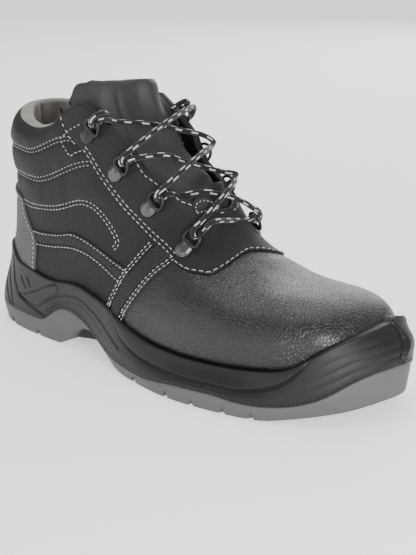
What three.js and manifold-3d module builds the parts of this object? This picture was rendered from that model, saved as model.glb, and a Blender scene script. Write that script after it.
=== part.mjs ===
// Ankle-high safety boot for the right foot: two-colour moulded sole, hollow leather upper with a padded
// collar, padded tongue, insole, stitched-on reinforcements, eight D-rings and the lace.
// Millimetres. X runs from heel to toe, Y to the inner side of the foot, Z up from the floor.
// The origin is on the floor under the middle of the heel.

import * as THREE from 'three'
import { mergeVertices } from 'three/addons/utils/BufferGeometryUtils.js'
import Module from 'manifold-3d'

const wasm = await Module()
wasm.setup()

// Driving sizes of the upper
const upperLength = 280 // back of the heel to the tip of the leather toe
const heelCentre = 38 // back of the heel to the middle of the heel's ground face
const ballWidth = 101
const collarHeight = 138 // floor to the back of the collar
const upperWall = 2.4 // leather and lining
const collarPadding = 5.5 // foam behind the leather of the collar
const collarSwell = 2.6 // how far the padded rolls stand out at the back
const lipRound = 7 // height over which the collar's lip rounds off
const footbedRise = 4 // footbed above the lowest line of the last
const heelHemRise = 6 // how much higher the upper ends round the heel, where the cup is deep
const overlayThickness = 1.2
const tongueThickness = 8
const tongueRise = 23.5 // top edge of the tongue above the collar
const tongueSideGap = 5.2 // room between tongue and ears, where the lace ends lie
const insoleThickness = 4.5
const innerEarForward = 2 // the ear on the inner side stands a little further forward
const innerEarDrop = 3.5 // and a little lower than the outer one

// Driving sizes of the sole
const heelOverhang = 13.2 // sole behind the upper
const toeOverhang = 10 // sole in front of the upper
const sideOverhang = 5 // sole beside the ball of the foot
const soleFlare = 1.4 // side wall's step out above the ground outline
const edgeTaper = 1 // outsole's draw-in at the ground
const ribDepth = 1
const lugDepth = 3.2
const lugSlotWidth = 3.2
const grooveWidth = 3
const grooveDepth = 1.6

// Driving sizes of the D-rings and the lace
const ringPlateWidth = 9.5
const ringPlateLength = 9
const ringPlateThickness = 1.8
const ringWire = 1.9
const ringTilt = 0.3 // radians by which the loop stands off the leather
const ringLoopWidth = 11
const ringLoopReach = 9.5
const laceDiameter = 3.6

const gap = 0.3 // clearance between neighbouring pieces
const mergeTolerance = 1e-4

const tongueTop = collarHeight + tongueRise
const soleLength = heelOverhang + upperLength + toeOverhang
const soleWidth = ballWidth + 2 * sideOverhang
const heelX = -heelCentre

// Sections of the last from the top of the shaft to the toe. Each is an oval in a tilted plane.
// backX, frontX: shares of upperLength from the heel back; backZ, frontZ: shares of collarHeight;
// outer, inner: half widths, shares of ballWidth; widest: where along the oval the width is greatest;
// backPower, frontPower: how square each end of the oval is, 2 being an ellipse
const lastSections = [
  [-0.0125, 1.16, 0.383, 1.411, 0.36, 0.366, 0.48, 2.2, 2.3],
  [-0.005, 0.986, 0.4125, 1.277, 0.357, 0.356, 0.47, 2.25, 2.3],
  [-0.003, 0.797, 0.465, 1.147, 0.358, 0.347, 0.46, 2.3, 2.25],
  [0.004, 0.616, 0.515, 1.02, 0.356, 0.347, 0.45, 2.35, 2.2],
  [0.004, 0.435, 0.553, 0.91, 0.368, 0.347, 0.42, 2.45, 2.2],
  [0.011, 0.261, 0.587, 0.821, 0.386, 0.356, 0.38, 2.7, 2.2],
  [0.121, 0.188, 0.609, 0.717, 0.403, 0.376, 0.35, 3.4, 2.2],
  [0.296, 0.167, 0.634, 0.625, 0.436, 0.406, 0.34, 4, 2.2],
  [0.475, 0.145, 0.671, 0.544, 0.505, 0.446, 0.34, 4, 2.2],
  [0.629, 0.13, 0.729, 0.499, 0.525, 0.475, 0.34, 4, 2.3],
  [0.75, 0.138, 0.789, 0.46, 0.495, 0.485, 0.36, 4, 2.4],
  [0.861, 0.152, 0.861, 0.454, 0.431, 0.46, 0.38, 4, 2.5],
]

// Front of the tongue for each section of the last. Columns: how far along the oval it lies, frontPower there
const tongueFronts = [
  [0.87, 2.8],
  [0.86, 2.8],
  [0.803, 3],
  [0.831, 3],
  [0.888, 2.8],
  [0.95, 2.5],
  [1, 2.2],
  [1, 2.2],
  [1, 2.2],
  [1, 2.3],
  [1, 2.4],
  [1, 2.5],
]
const toeTip = { along: 1, aside: 0.05, up: 0.27, power: 2.3 }
const firstFootSection = 6 // the sections from here on stand on the footbed

// Ground outline of the sole, closed, heel back first and then the outer side.
// Columns: share of soleLength from the heel back, share of soleWidth towards the inner side
const soleOutline = [
  [0, 0],
  [0.03, -0.219],
  [0.1, -0.32],
  [0.22, -0.36],
  [0.36, -0.366],
  [0.5, -0.475],
  [0.63, -0.536],
  [0.76, -0.505],
  [0.88, -0.409],
  [0.965, -0.21],
  [1, 0.068],
  [0.975, 0.259],
  [0.9, 0.42],
  [0.8, 0.475],
  [0.69, 0.485],
  [0.56, 0.42],
  [0.42, 0.345],
  [0.3, 0.33],
  [0.18, 0.33],
  [0.08, 0.3],
  [0.025, 0.18],
]
const outlineToe = 10 // row of the toe in soleOutline

// Side of the sole. Columns: share of soleLength, then shares of collarHeight for the rim of the cup, the
// seam between the two colours and the underside, then the rim's thickness as a share of heelOverhang
const soleSide = [
  [0, 0.381, 0.092, 0.011, 0.3],
  [0.07, 0.383, 0.092, 0.002, 0.28],
  [0.1, 0.369, 0.091, 0, 0.25],
  [0.13, 0.322, 0.091, 0, 0.24],
  [0.17, 0.317, 0.09, 0, 0.22],
  [0.21, 0.303, 0.089, 0, 0.22],
  [0.23, 0.298, 0.105, 0, 0.22],
  [0.25, 0.296, 0.149, 0, 0.22],
  [0.275, 0.299, 0.175, 0, 0.22],
  [0.28, 0.3, 0.176, 0.025, 0.22],
  [0.305, 0.312, 0.174, 0.08, 0.22],
  [0.34, 0.314, 0.15, 0.108, 0.22],
  [0.37, 0.305, 0.119, 0.105, 0.22],
  [0.4, 0.293, 0.091, 0.069, 0.22],
  [0.43, 0.28, 0.07, 0.038, 0.22],
  [0.46, 0.262, 0.06, 0.009, 0.22],
  [0.5, 0.23, 0.052, 0, 0.22],
  [0.54, 0.204, 0.051, 0, 0.23],
  [0.58, 0.187, 0.051, 0, 0.24],
  [0.66, 0.175, 0.072, 0, 0.24],
  [0.75, 0.177, 0.077, 0, 0.24],
  [0.8, 0.181, 0.065, 0, 0.25],
  [0.85, 0.197, 0.067, 0.004, 0.28],
  [0.89, 0.217, 0.078, 0.022, 0.32],
  [0.92, 0.272, 0.094, 0.035, 0.36],
  [0.95, 0.343, 0.127, 0.047, 0.4],
  [0.975, 0.377, 0.18, 0.058, 0.42],
  [1, 0.399, 0.214, 0.08, 0.42],
]

// Shank under the arch, narrower than the sole. Columns: share of soleLength, share of collarHeight;
// its sides as shares of soleWidth towards the inner side
const shankLine = [
  [0.272, 0.006],
  [0.303, 0.016],
  [0.33, 0.022],
  [0.355, 0.028],
  [0.385, 0.022],
  [0.42, 0.011],
  [0.45, 0.006],
]
const shankSides = [-0.235, 0.215]

// Lines of the pattern, seen from the side. Columns: share of upperLength, share of collarHeight
const collarLine = [
  [-0.1, 0.986],
  [0, 0.986],
  [0.046, 0.977],
  [0.093, 0.958],
  [0.15, 0.944],
  [0.204, 0.97],
  [0.254, 1.04],
  [0.282, 1.08],
  [0.311, 1.107],
  [0.339, 1.105],
  [0.364, 1.076],
  [0.389, 1.008],
]
const facingRear = [
  [0.254, 1.058],
  [0.276, 0.962],
  [0.31, 0.898],
  [0.327, 0.859],
  [0.365, 0.77],
  [0.422, 0.671],
  [0.51, 0.572],
  [0.569, 0.531],
  [0.614, 0.507],
  [0.649, 0.491],
  [0.672, 0.493],
  [0.682, 0.513],
  [0.676, 0.545],
]
const facingClose = [
  [0.676, 0.7],
  [0.57, 0.9],
  [0.5, 1.25],
  [0.254, 1.25],
]
const counterEdge = [
  [-0.1, 0.645],
  [0.01, 0.645],
  [0.05, 0.637],
  [0.083, 0.617],
  [0.105, 0.55],
  [0.126, 0.501],
  [0.149, 0.479],
  [0.156, 0.4],
  [0.151, 0.2],
  [-0.1, 0.2],
]
const bandUpper = [
  [0.1, 0.496],
  [0.148, 0.496],
  [0.195, 0.497],
  [0.248, 0.513],
  [0.287, 0.533],
  [0.33, 0.521],
  [0.377, 0.495],
  [0.428, 0.464],
  [0.474, 0.442],
]
const bandLower = [
  [0.463, 0.396],
  [0.437, 0.406],
  [0.381, 0.446],
  [0.331, 0.47],
  [0.282, 0.473],
  [0.214, 0.451],
  [0.163, 0.443],
  [0.1, 0.442],
]
const strapRear = [
  [0.545, 0.58],
  [0.527, 0.555],
  [0.502, 0.484],
  [0.472, 0.401],
  [0.451, 0.309],
  [0.44, 0.27],
  [0.433, 0.2],
]
const strapFront = [
  [0.465, 0.2],
  [0.473, 0.252],
  [0.489, 0.307],
  [0.512, 0.379],
  [0.54, 0.457],
  [0.57, 0.522],
  [0.585, 0.56],
]

// Stitched channels between the padded rolls. Columns: height at the back and at the front as shares of
// collarHeight, then where the rise begins and ends as shares of upperLength
const rollSeams = [
  [0.845, 0.935, 0.136, 0.28],
  [0.722, 0.845, 0.154, 0.35],
  [0.605, 0.68, 0.17, 0.314],
  [0.45, 0.5, 0.17, 0.314],
]
const rollStrength = [1, 0.75, 0.4] // share of collarSwell for each roll, the collar's first

// Throat opening, seen square to the instep. Columns: share of collarHeight up along the instep from its
// lower end, half width as a share of ballWidth
const throatFoot = { along: 0.604, up: 0.707 }
const instepSlope = THREE.MathUtils.degToRad(48.2) // instep line above the level, leaning back
const throatRows = [
  [-0.018, 0],
  [-0.015, 0.05],
  [0.029, 0.133],
  [0.094, 0.19],
  [0.208, 0.233],
  [0.269, 0.253],
  [0.384, 0.262],
  [0.514, 0.291],
  [1.1, 0.42],
]

// Tongue, seen from the side. Columns: share of upperLength, share of tongueTop
const tongueOutline = [
  [0.248, 0.9],
  [0.252, 0.955],
  [0.27, 0.988],
  [0.3, 1],
  [0.62, 1],
  [0.62, 0.5],
  [0.56, 0.52],
  [0.47, 0.62],
  [0.37, 0.75],
]

// D-rings from the top down. Columns: middle of the plate and middle of the loop, each as a share of
// upperLength and a share of collarHeight
const ringRows = [
  [0.335, 0.967, 0.365, 1.035],
  [0.41, 0.822, 0.437, 0.878],
  [0.497, 0.696, 0.521, 0.745],
  [0.596, 0.553, 0.605, 0.591],
]

// Free ends of the lace, down between tongue and ear. Columns: share of upperLength, share of collarHeight
const laceEndRoute = [
  [0.366, 1.06],
  [0.37, 1.007],
  [0.376, 0.95],
  [0.382, 0.893],
  [0.386, 0.836],
]

const leather = new THREE.MeshStandardMaterial({ color: 0x2b2a2b, roughness: 0.55, metalness: 0 })
const grainLeather = new THREE.MeshStandardMaterial({ color: 0x35302e, roughness: 0.6, metalness: 0 })
const softLeather = new THREE.MeshStandardMaterial({ color: 0x333133, roughness: 0.65, metalness: 0 })
const blackFoam = new THREE.MeshStandardMaterial({ color: 0x1d1d1f, roughness: 0.5, metalness: 0 })
const greyRubber = new THREE.MeshStandardMaterial({ color: 0x6b6a6b, roughness: 0.7, metalness: 0 })
const insoleCloth = new THREE.MeshStandardMaterial({ color: 0x8d867d, roughness: 0.9, metalness: 0 })
const blackMetal = new THREE.MeshStandardMaterial({ color: 0x2f2f31, roughness: 0.35, metalness: 0.8 })
const laceCord = new THREE.MeshStandardMaterial({ color: 0x161616, roughness: 0.9, metalness: 0 })

const smooth = THREE.MathUtils.smoothstep
const lerp = THREE.MathUtils.lerp

function alongUpper(share) {
  return heelX + share * upperLength
}

function sideView([along, up]) {
  return [alongUpper(along), up * collarHeight]
}

// Curve through evenly spaced rows of numbers, t from 0 to the last row
function throughRows(rows, t) {
  const last = rows.length - 1
  const i = Math.min(Math.floor(t), last - 1)
  const f = t - i
  return rows[i].map((p1, column) => {
    const p2 = rows[i + 1][column]
    const p0 = i > 0 ? rows[i - 1][column] : 2 * p1 - p2
    const p3 = i + 2 <= last ? rows[i + 2][column] : 2 * p2 - p1
    const bend = 2 * p0 - 5 * p1 + 4 * p2 - p3
    return 0.5 * (2 * p1 + (p2 - p0) * f + bend * f * f + (3 * (p1 - p2) + p3 - p0) * f ** 3)
  })
}

// Value of a column at a place, from rows with that place in their first column
function atPlace(rows, column, place) {
  if (place <= rows[0][0]) return rows[0][column]
  const next = rows.findIndex((row) => row[0] > place)
  if (next < 0) return rows[rows.length - 1][column]
  const [a, b] = [rows[next - 1], rows[next]]
  return lerp(a[column], b[column], (place - a[0]) / (b[0] - a[0]))
}

// A closed mesh as a solid that can be cut and joined
function solidOf(geometry) {
  const plain = geometry.clone()
  plain.deleteAttribute('normal')
  plain.deleteAttribute('uv')
  const merged = mergeVertices(plain, mergeTolerance)
  return new wasm.Manifold(
    new wasm.Mesh({
      numProp: 3,
      vertProperties: new Float32Array(merged.attributes.position.array),
      triVerts: new Uint32Array(merged.index.array),
    }),
  )
}

function geometryOf(solid) {
  const mesh = solid.getMesh()
  const geometry = new THREE.BufferGeometry()
  geometry.setAttribute('position', new THREE.BufferAttribute(mesh.vertProperties, 3))
  geometry.setIndex(new THREE.BufferAttribute(mesh.triVerts, 1))
  geometry.computeVertexNormals()
  return geometry
}

// Closed body from rings of as many points each, the last of which may be a single point
function loft(rings) {
  const positions = []
  const index = []
  const starts = rings.map((ring) => {
    const start = positions.length / 3
    ring.forEach((p) => positions.push(p.x, p.y, p.z))
    return start
  })
  for (let r = 0; r + 1 < rings.length; r++) {
    const count = rings[r].length
    for (let i = 0; i < count; i++) {
      const j = (i + 1) % count
      const [a, b] = [starts[r] + i, starts[r] + j]
      if (rings[r + 1].length === 1) {
        index.push(a, starts[r + 1], b)
      } else {
        const [c, d] = [starts[r + 1] + j, starts[r + 1] + i]
        index.push(a, d, c, a, c, b)
      }
    }
  }
  stripCap(index, starts[0], rings[0].length, false)
  const last = rings.length - 1
  if (rings[last].length > 1) stripCap(index, starts[last], rings[last].length, true)
  const geometry = new THREE.BufferGeometry()
  geometry.setAttribute('position', new THREE.Float32BufferAttribute(positions, 3))
  geometry.setIndex(index)
  return solidOf(geometry)
}

// Cap of a ring that starts and turns back on the centre line: strips from one side to the other
function stripCap(index, start, count, isLast) {
  const face = (a, b, c) => (isLast ? index.push(a, c, b) : index.push(a, b, c))
  const half = count / 2
  for (let i = 0; i < half; i++) {
    const [a, b] = [start + i, start + i + 1]
    const d = start + ((count - i) % count)
    const c = start + count - i - 1
    if (i > 0) face(a, c, d)
    if (i < half - 1) face(a, b, c)
  }
}

// Area between lines of the side view, cut right across the boot or on one side only
function prismOf(points, fromY = -ballWidth, toY = ballWidth) {
  const shape = new THREE.Shape(points.map(([x, z]) => new THREE.Vector2(x, z)))
  const geometry = new THREE.ExtrudeGeometry(shape, { depth: toY - fromY, bevelEnabled: false })
  geometry.rotateX(Math.PI / 2)
  geometry.translate(0, toY, 0)
  return solidOf(geometry)
}

// One tilted oval of the last; turn runs from 0 under the foot over the outer side to the instep and back
function sectionPoint(row, turn) {
  const [backX, backZ, frontX, frontZ, outer, inner, widest, backPower, frontPower] = row
  const angle = -Math.PI / 2 - 2 * Math.PI * turn
  const [across, rise] = [Math.cos(angle), Math.sin(angle)]
  const power = rise >= 0 ? frontPower : backPower
  const reach = Math.abs(rise) ** (2 / power)
  const share = rise >= 0 ? widest + (1 - widest) * reach : widest - widest * reach
  const half = (across < 0 ? outer : inner) * ballWidth
  return new THREE.Vector3(
    alongUpper(lerp(backX, frontX, share)),
    Math.sign(across) * Math.abs(across) ** (2 / power) * half,
    lerp(backZ, frontZ, share) * collarHeight,
  )
}

// Sections of the tongue: those of the last with the front of each oval drawn in and squarer
const tongueSections = lastSections.map((section, k) => {
  const [backX, backZ, frontX, frontZ, outer, inner, widest, backPower] = section
  const [along, power] = tongueFronts[k]
  const front = [lerp(backX, frontX, along), lerp(backZ, frontZ, along)]
  return [backX, backZ, ...front, outer, inner, widest / along, backPower, power]
})

// Surface of the last; place counts the sections and its last unit is the rounded toe
const lastPlace = lastSections.length
function lastPoint(place, turn, sections = lastSections) {
  const end = sections.length - 1
  if (place <= end) return sectionPoint(throughRows(sections, place), turn)
  const quarter = (place - end) * Math.PI / 2
  const shrink = Math.abs(Math.cos(quarter)) ** (2 / toeTip.power)
  const forward = (1 - shrink ** toeTip.power) ** (1 / toeTip.power)
  const row = [...sections[end]]
  const before = throughRows(sections, end - 0.1)
  const step = (toeTip.along - row[0]) * forward
  const slope = (column) => (row[column] - before[column]) / (row[0] - before[0]) * step
  const carried = row.map((value, column) => (column >= 1 && column <= 5 ? value + slope(column) : value))
  carried[0] = row[0] + step
  carried[2] = row[0] + step
  const p = sectionPoint(carried, turn)
  p.y = lerp(toeTip.aside * ballWidth, p.y, shrink)
  p.z = lerp(toeTip.up * collarHeight, p.z, shrink)
  return p
}

function lastNormal(place, turn, sections) {
  if (place >= lastPlace) return new THREE.Vector3(1, 0, 0)
  const [stepPlace, stepTurn] = [0.02, 0.004]
  const lower = Math.max(place - stepPlace, 0)
  const upper = Math.min(place + stepPlace, lastPlace)
  const alongFoot = lastPoint(upper, turn, sections).sub(lastPoint(lower, turn, sections))
  const next = lastPoint(place, turn + stepTurn, sections)
  const around = next.sub(lastPoint(place, turn - stepTurn, sections))
  return alongFoot.cross(around).normalize()
}

function collarTopAt(x) {
  const share = (x - heelX) / upperLength
  return atPlace(collarLine, 1, share) * collarHeight
}

// 0 at the facing and in front of it, 1 well behind it
function behindFacing(x, z) {
  const [topX, topZ] = sideView(facingRear[1])
  const facingX = topX + (topZ - z)
  return smooth(facingX - x, 0, 0.09 * upperLength)
}

// 0 at the collar's lip, 1 below its rounding
function belowLip(x, z) {
  const depth = THREE.MathUtils.clamp((collarTopAt(x) - z) / lipRound, 0, 1)
  return Math.sqrt(1 - (1 - depth) ** 2)
}

// How far the padded rolls stand out at a point of the last
function swellAt(x, z) {
  const share = (x - heelX) / upperLength
  const levels = rollSeams.map(([back, front, from, to]) => lerp(back, front, smooth(share, from, to)))
  const heights = [collarTopAt(x), ...levels.map((level) => level * collarHeight)]
  const roll = rollStrength.findIndex((_, k) => z <= heights[k] && z > heights[k + 1])
  if (roll < 0) return 0
  const t = (z - heights[roll + 1]) / (heights[roll] - heights[roll + 1])
  return collarSwell * rollStrength[roll] * Math.sqrt(1 - (2 * t - 1) ** 2) * behindFacing(x, z)
}

// Wall of the upper at a point of the last, foam included
function wallAt(x, z) {
  const high = smooth(z, 0.58 * collarHeight, 0.78 * collarHeight)
  return upperWall + collarPadding * high * behindFacing(x, z) * belowLip(x, z)
}

// Steps round the foot, then for each section of the top, the shaft and the foot, and for the toe
const fine = { turns: 26, top: 2, shaft: 4, foot: 2, toe: 5 }
const plain = { turns: 18, top: 2, shaft: 2, foot: 1, toe: 4 }
function lastPlaces(steps) {
  const places = []
  const addSteps = (from, to, count) => {
    for (let i = 0; i < (to - from) * count; i++) places.push(from + i / count)
  }
  addSteps(0, 1, steps.top)
  addSteps(1, firstFootSection, steps.shaft)
  addSteps(firstFootSection, lastPlace - 1, steps.foot)
  addSteps(lastPlace - 1, lastPlace, steps.toe)
  return [...places, lastPlace]
}

// The last as a solid, moved out (or in, below zero) by a distance that may change from place to place
function lastBody(offsetAt, steps, sections = lastSections) {
  const rings = lastPlaces(steps).map((place) => {
    const count = place >= lastPlace ? 1 : steps.turns
    return Array.from({ length: count }, (_, i) => {
      const turn = i / steps.turns
      const p = lastPoint(place, turn, sections)
      return p.addScaledVector(lastNormal(place, turn, sections), offsetAt(p.x, p.z))
    })
  })
  return loft(rings)
}

function outsideBody(offset) {
  return lastBody((x, z) => offset + swellAt(x, z), fine)
}

function insideBody(extra) {
  return lastBody((x, z) => -wallAt(x, z) - extra, plain)
}

// The inner ear's shift of a point of the side view
function innerShift([x, z]) {
  const share = (x - heelX) / upperLength
  const weight = smooth(share, 0.1, 0.3) * smooth(z / collarHeight, 0.6, 1)
  return [x + innerEarForward * weight, z - innerEarDrop * weight]
}

// A line of the side view on the outer side (side below zero) or the inner side
function lineOn(side, rows) {
  const line = rows.map(sideView)
  return side < 0 ? line : line.map(innerShift)
}

// Prism on one side of the boot, a little past its middle
function sidePrism(side, points) {
  return side < 0 ? prismOf(points, -ballWidth, gap) : prismOf(points, -gap, ballWidth)
}

// Everything above the collar line, and everything below the footbed
function aboveCollar(lift = 0) {
  const top = 2 * collarHeight
  const halves = [-1, 1].map((side) => {
    const line = lineOn(side, collarLine).map(([x, z]) => [x, z + lift])
    const [lastX, lastZ] = line[line.length - 1]
    const far = lastX + upperLength
    return sidePrism(side, [...line, [far, lastZ], [far, top], [line[0][0], top]])
  })
  return halves[0].add(halves[1])
}

function footbedLine(lift, heelLift = 0) {
  const rows = lastSections.slice(firstFootSection)
  const line = rows.map(([x, z]) => {
    const higher = heelLift * (1 - smooth(alongUpper(x), 0, 0.3 * upperLength))
    return [alongUpper(x), z * collarHeight + footbedRise + lift + higher]
  })
  const [first, last] = [line[0], line[line.length - 1]]
  return [[first[0] - upperLength / 2, first[1]], ...line, [last[0] + upperLength / 2, last[1]]]
}

function belowFootbed(lift = 0, heelLift = 0) {
  const line = footbedLine(lift, heelLift)
  return prismOf([...line, [line[line.length - 1][0], -collarHeight], [line[0][0], -collarHeight]])
}

// U-shaped prism square to the instep; shrink draws its sides in
function throatBody(shrink = 0) {
  const rows = throatRows.map(([up, half]) => [up * collarHeight, half * ballWidth - shrink])
  const used = rows.filter(([, half]) => half > 0)
  const tip = rows[0][0] + shrink
  const outline = [new THREE.Vector2(tip, 0)]
  used.forEach(([up, half]) => outline.push(new THREE.Vector2(Math.max(up, tip + gap), -half)))
  used.reverse().forEach(([up, half]) => outline.push(new THREE.Vector2(Math.max(up, tip + gap), half)))
  const depth = ballWidth
  const geometry = new THREE.ExtrudeGeometry(new THREE.Shape(outline), { depth, bevelEnabled: false })
  geometry.translate(0, 0, -depth / 3)
  const upInstep = new THREE.Vector3(-Math.cos(instepSlope), 0, Math.sin(instepSlope))
  const outOfInstep = new THREE.Vector3(Math.sin(instepSlope), 0, Math.cos(instepSlope))
  const across = new THREE.Vector3().crossVectors(outOfInstep, upInstep)
  const [footX, footZ] = sideView([throatFoot.along, throatFoot.up])
  const turned = new THREE.Matrix4().makeBasis(upInstep, across, outOfInstep).setPosition(footX, 0, footZ)
  return solidOf(geometry.applyMatrix4(turned))
}

// Side wall of the sole
function soleShare(x) {
  return (x - heelX + heelOverhang) / soleLength
}

function soleHeight(column, x) {
  return atPlace(soleSide, column, soleShare(x)) * collarHeight
}
const [rimColumn, seamColumn, groundColumn, rimThicknessColumn] = [1, 2, 3, 4]

function outlinePoint(t) {
  const count = soleOutline.length
  const i = Math.floor(t)
  const around = [-1, 0, 1, 2].map((k) => soleOutline[(i + k + count) % count])
  const [along, aside] = throughRows(around, 1 + t - i)
  return new THREE.Vector2(heelX - heelOverhang + along * soleLength, aside * soleWidth)
}

// Stations round the sole: heel back, outer side, toe, inner side, in pairs across the foot
const sideStations = 26
function soleStations() {
  const rows = soleOutline.length
  return Array.from({ length: 2 * sideStations }, (_, k) => {
    const outer = k <= sideStations
    const share = outer ? k / sideStations : (k - sideStations) / sideStations
    const t = outer ? share * outlineToe : outlineToe + share * (rows - outlineToe)
    const point = outlinePoint(t)
    const ahead = outlinePoint((t + 0.05) % rows)
    const behind = outlinePoint((t - 0.05 + rows) % rows)
    const along = ahead.sub(behind).normalize()
    return { point, outward: new THREE.Vector2(along.y, -along.x) }
  })
}

// Distance from the ground outline to the leather at a height, seen along the outline's normal
const leatherMesh = new THREE.Mesh(
  geometryOf(outsideBody(0)),
  new THREE.MeshBasicMaterial({ side: THREE.DoubleSide }),
)
function leatherReach({ point, outward }, z) {
  const far = ballWidth
  const origin = new THREE.Vector3(point.x + outward.x * far, point.y + outward.y * far, z)
  const inward = new THREE.Vector3(-outward.x, -outward.y, 0)
  const hit = new THREE.Raycaster(origin, inward).intersectObject(leatherMesh)[0]
  return far - hit.distance
}

// Profile of the cup's side from the seam to the rim. Columns: share of its height, then how far it stands
// out, in shares of ribDepth: the bead and groove along the forefoot, the ribs of the toe bumper
const sideProfile = [
  [0, 0, 0],
  [0.08, 0.3, 0.5],
  [0.28, 0.7, -0.4],
  [0.46, 0.5, 0.5],
  [0.54, -0.7, -0.4],
  [0.66, 0.6, 0.5],
  [0.84, 1, -0.4],
  [0.95, 0.5, 0.4],
  [1, -0.6, 0],
]
function ribAt(x, bead, rib) {
  const toe = smooth(soleShare(x), 0.9, 0.96)
  const side = (1 - toe) * smooth(soleShare(x), 0.3, 0.5)
  return ribDepth * (toe * rib + side * bead)
}

function ringAt(stations, heightAt, outAt) {
  return stations.map((station, k) => {
    const out = outAt(station, k)
    const x = station.point.x + station.outward.x * out
    const y = station.point.y + station.outward.y * out
    return new THREE.Vector3(x, y, heightAt(station.point.x))
  })
}

const stations = soleStations()

// How far the rim of the cup stands out from the ground outline at each station
const rimOut = stations.map((station) => {
  const x = station.point.x
  const thickness = atPlace(soleSide, rimThicknessColumn, soleShare(x)) * heelOverhang
  return leatherReach(station, soleHeight(rimColumn, x)) + thickness
})

function cupBody() {
  const rings = sideProfile.map(([t, bead, rib]) => {
    const heightAt = (x) => lerp(soleHeight(seamColumn, x) + gap, soleHeight(rimColumn, x), t)
    const leanAt = (x) => t * t * lerp(3 - 2 * t, 1, smooth(soleShare(x), 0.86, 0.95))
    const outAt = ({ point }, k) => lerp(soleFlare, rimOut[k], leanAt(point.x)) + ribAt(point.x, bead, rib)
    return ringAt(stations, heightAt, outAt)
  })
  return loft(rings.reverse())
}

// Upright grooves round the back of the heel, on both sides. Column: share of soleLength
const heelGrooves = [0.012, 0.035, 0.065, 0.1]
function grooveBody(share, side) {
  const x = heelX - heelOverhang + share * soleLength
  const candidates = stations.filter(({ point }) => point.y * side > 0)
  const distance = ({ point }) => Math.abs(point.x - x)
  const station = candidates.reduce((a, b) => (distance(a) < distance(b) ? a : b))
  const low = soleHeight(seamColumn, station.point.x) + 4
  const high = soleHeight(rimColumn, station.point.x) - 5
  const place = (z, deeper) => {
    const t = (z - low + 4) / (soleHeight(rimColumn, station.point.x) - low + 4)
    const lean = t * t * (3 - 2 * t)
    const rim = leatherReach(station, soleHeight(rimColumn, station.point.x)) + 0.3 * heelOverhang
    const out = lerp(soleFlare, rim, lean) + grooveWidth / 2 - grooveDepth - deeper
    const { point, outward } = station
    return new THREE.Vector3(point.x + outward.x * out, point.y + outward.y * out, z)
  }
  const path = new THREE.CatmullRomCurve3([
    place(low, -grooveDepth),
    place(lerp(low, high, 0.33), 0),
    place(lerp(low, high, 0.67), 0),
    place(high, -grooveDepth),
  ])
  return tubeBody(path, grooveWidth / 2, 5, 4)
}

function tubeBody(path, radius, sides, steps) {
  const section = new THREE.Shape()
  for (let i = 0; i < sides; i++) {
    const angle = 2 * Math.PI * (i + 0.5) / sides
    const [x, y] = [radius * Math.cos(angle), radius * Math.sin(angle)]
    if (i === 0) section.moveTo(x, y)
    else section.lineTo(x, y)
  }
  return solidOf(new THREE.ExtrudeGeometry(section, { steps, extrudePath: path, bevelEnabled: false }))
}

function midsole() {
  const hollow = outsideBody(gap).subtract(belowFootbed(-gap))
  let body = cupBody().subtract(hollow)
  for (const side of [-1, 1]) {
    for (const share of heelGrooves) body = body.subtract(grooveBody(share, side))
  }
  return body
}

// Slots between the lugs, across the sole. Columns: share of soleLength, slant in degrees
const lugSlots = [
  [0.092, 0],
  [0.19, 0],
  [0.5, 12],
  [0.61, 8],
  [0.7, 0],
  [0.795, -8],
  [0.875, -16],
]
const centreSlot = { from: 0.47, to: 0.92 }

function slotBody(width, length, x, slant) {
  const box = new THREE.BoxGeometry(width, length, 2 * lugDepth)
  box.rotateZ(THREE.MathUtils.degToRad(slant))
  box.translate(x, 0, soleHeight(groundColumn, x))
  return solidOf(box)
}

function shank() {
  const placeX = (share) => heelX - heelOverhang + share * soleLength
  const middle = ([share]) => (soleHeight(groundColumn, placeX(share)) + soleHeight(seamColumn, placeX(share))) / 2
  const low = shankLine.map(([share, up]) => new THREE.Vector2(placeX(share), up * collarHeight))
  const high = shankLine.map((row) => new THREE.Vector2(placeX(row[0]), middle(row)))
  const [from, to] = shankSides.map((share) => share * soleWidth)
  const shape = new THREE.Shape([...low, ...high.reverse()])
  const geometry = new THREE.ExtrudeGeometry(shape, { depth: to - from, bevelEnabled: false })
  return solidOf(geometry.rotateX(Math.PI / 2).translate(0, to, 0))
}

function outsole() {
  const levels = [
    [0, -edgeTaper],
    [0.25, -0.3 * edgeTaper],
    [0.6, 0.6 * soleFlare],
    [1, soleFlare],
  ]
  const rings = levels.map(([t, out]) => {
    const heightAt = (x) => lerp(soleHeight(groundColumn, x), soleHeight(seamColumn, x), t)
    return ringAt(stations, heightAt, () => out)
  })
  let body = loft(rings.reverse()).add(shank())
  for (const [share, slant] of lugSlots) {
    const x = heelX - heelOverhang + share * soleLength
    body = body.subtract(slotBody(lugSlotWidth, 2 * soleWidth, x, slant))
  }
  const from = heelX - heelOverhang + centreSlot.from * soleLength
  const to = heelX - heelOverhang + centreSlot.to * soleLength
  return body.subtract(slotBody(to - from, lugSlotWidth, (from + to) / 2, 0))
}

function upper() {
  return outsideBody(0)
    .subtract(insideBody(0))
    .subtract(aboveCollar())
    .subtract(throatBody())
    .subtract(belowFootbed(0, heelHemRise))
}

function insole() {
  return insideBody(gap).subtract(belowFootbed(0)).intersect(belowFootbed(insoleThickness))
}

// Room beside the tongue, wide at the ears and closing further down
function besideTongue(x, z) {
  return gap + tongueSideGap * smooth(z, 0.6 * collarHeight, 0.74 * collarHeight)
}

function tongue() {
  const face = (x, z) => -wallAt(x, z) - besideTongue(x, z)
  const front = lastBody(face, plain, tongueSections)
  const back = lastBody((x, z) => face(x, z) - tongueThickness, plain, tongueSections)
  const outline = tongueOutline.map(([along, up]) => [alongUpper(along), up * tongueTop])
  return front.subtract(back).intersect(prismOf(outline))
}

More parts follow.
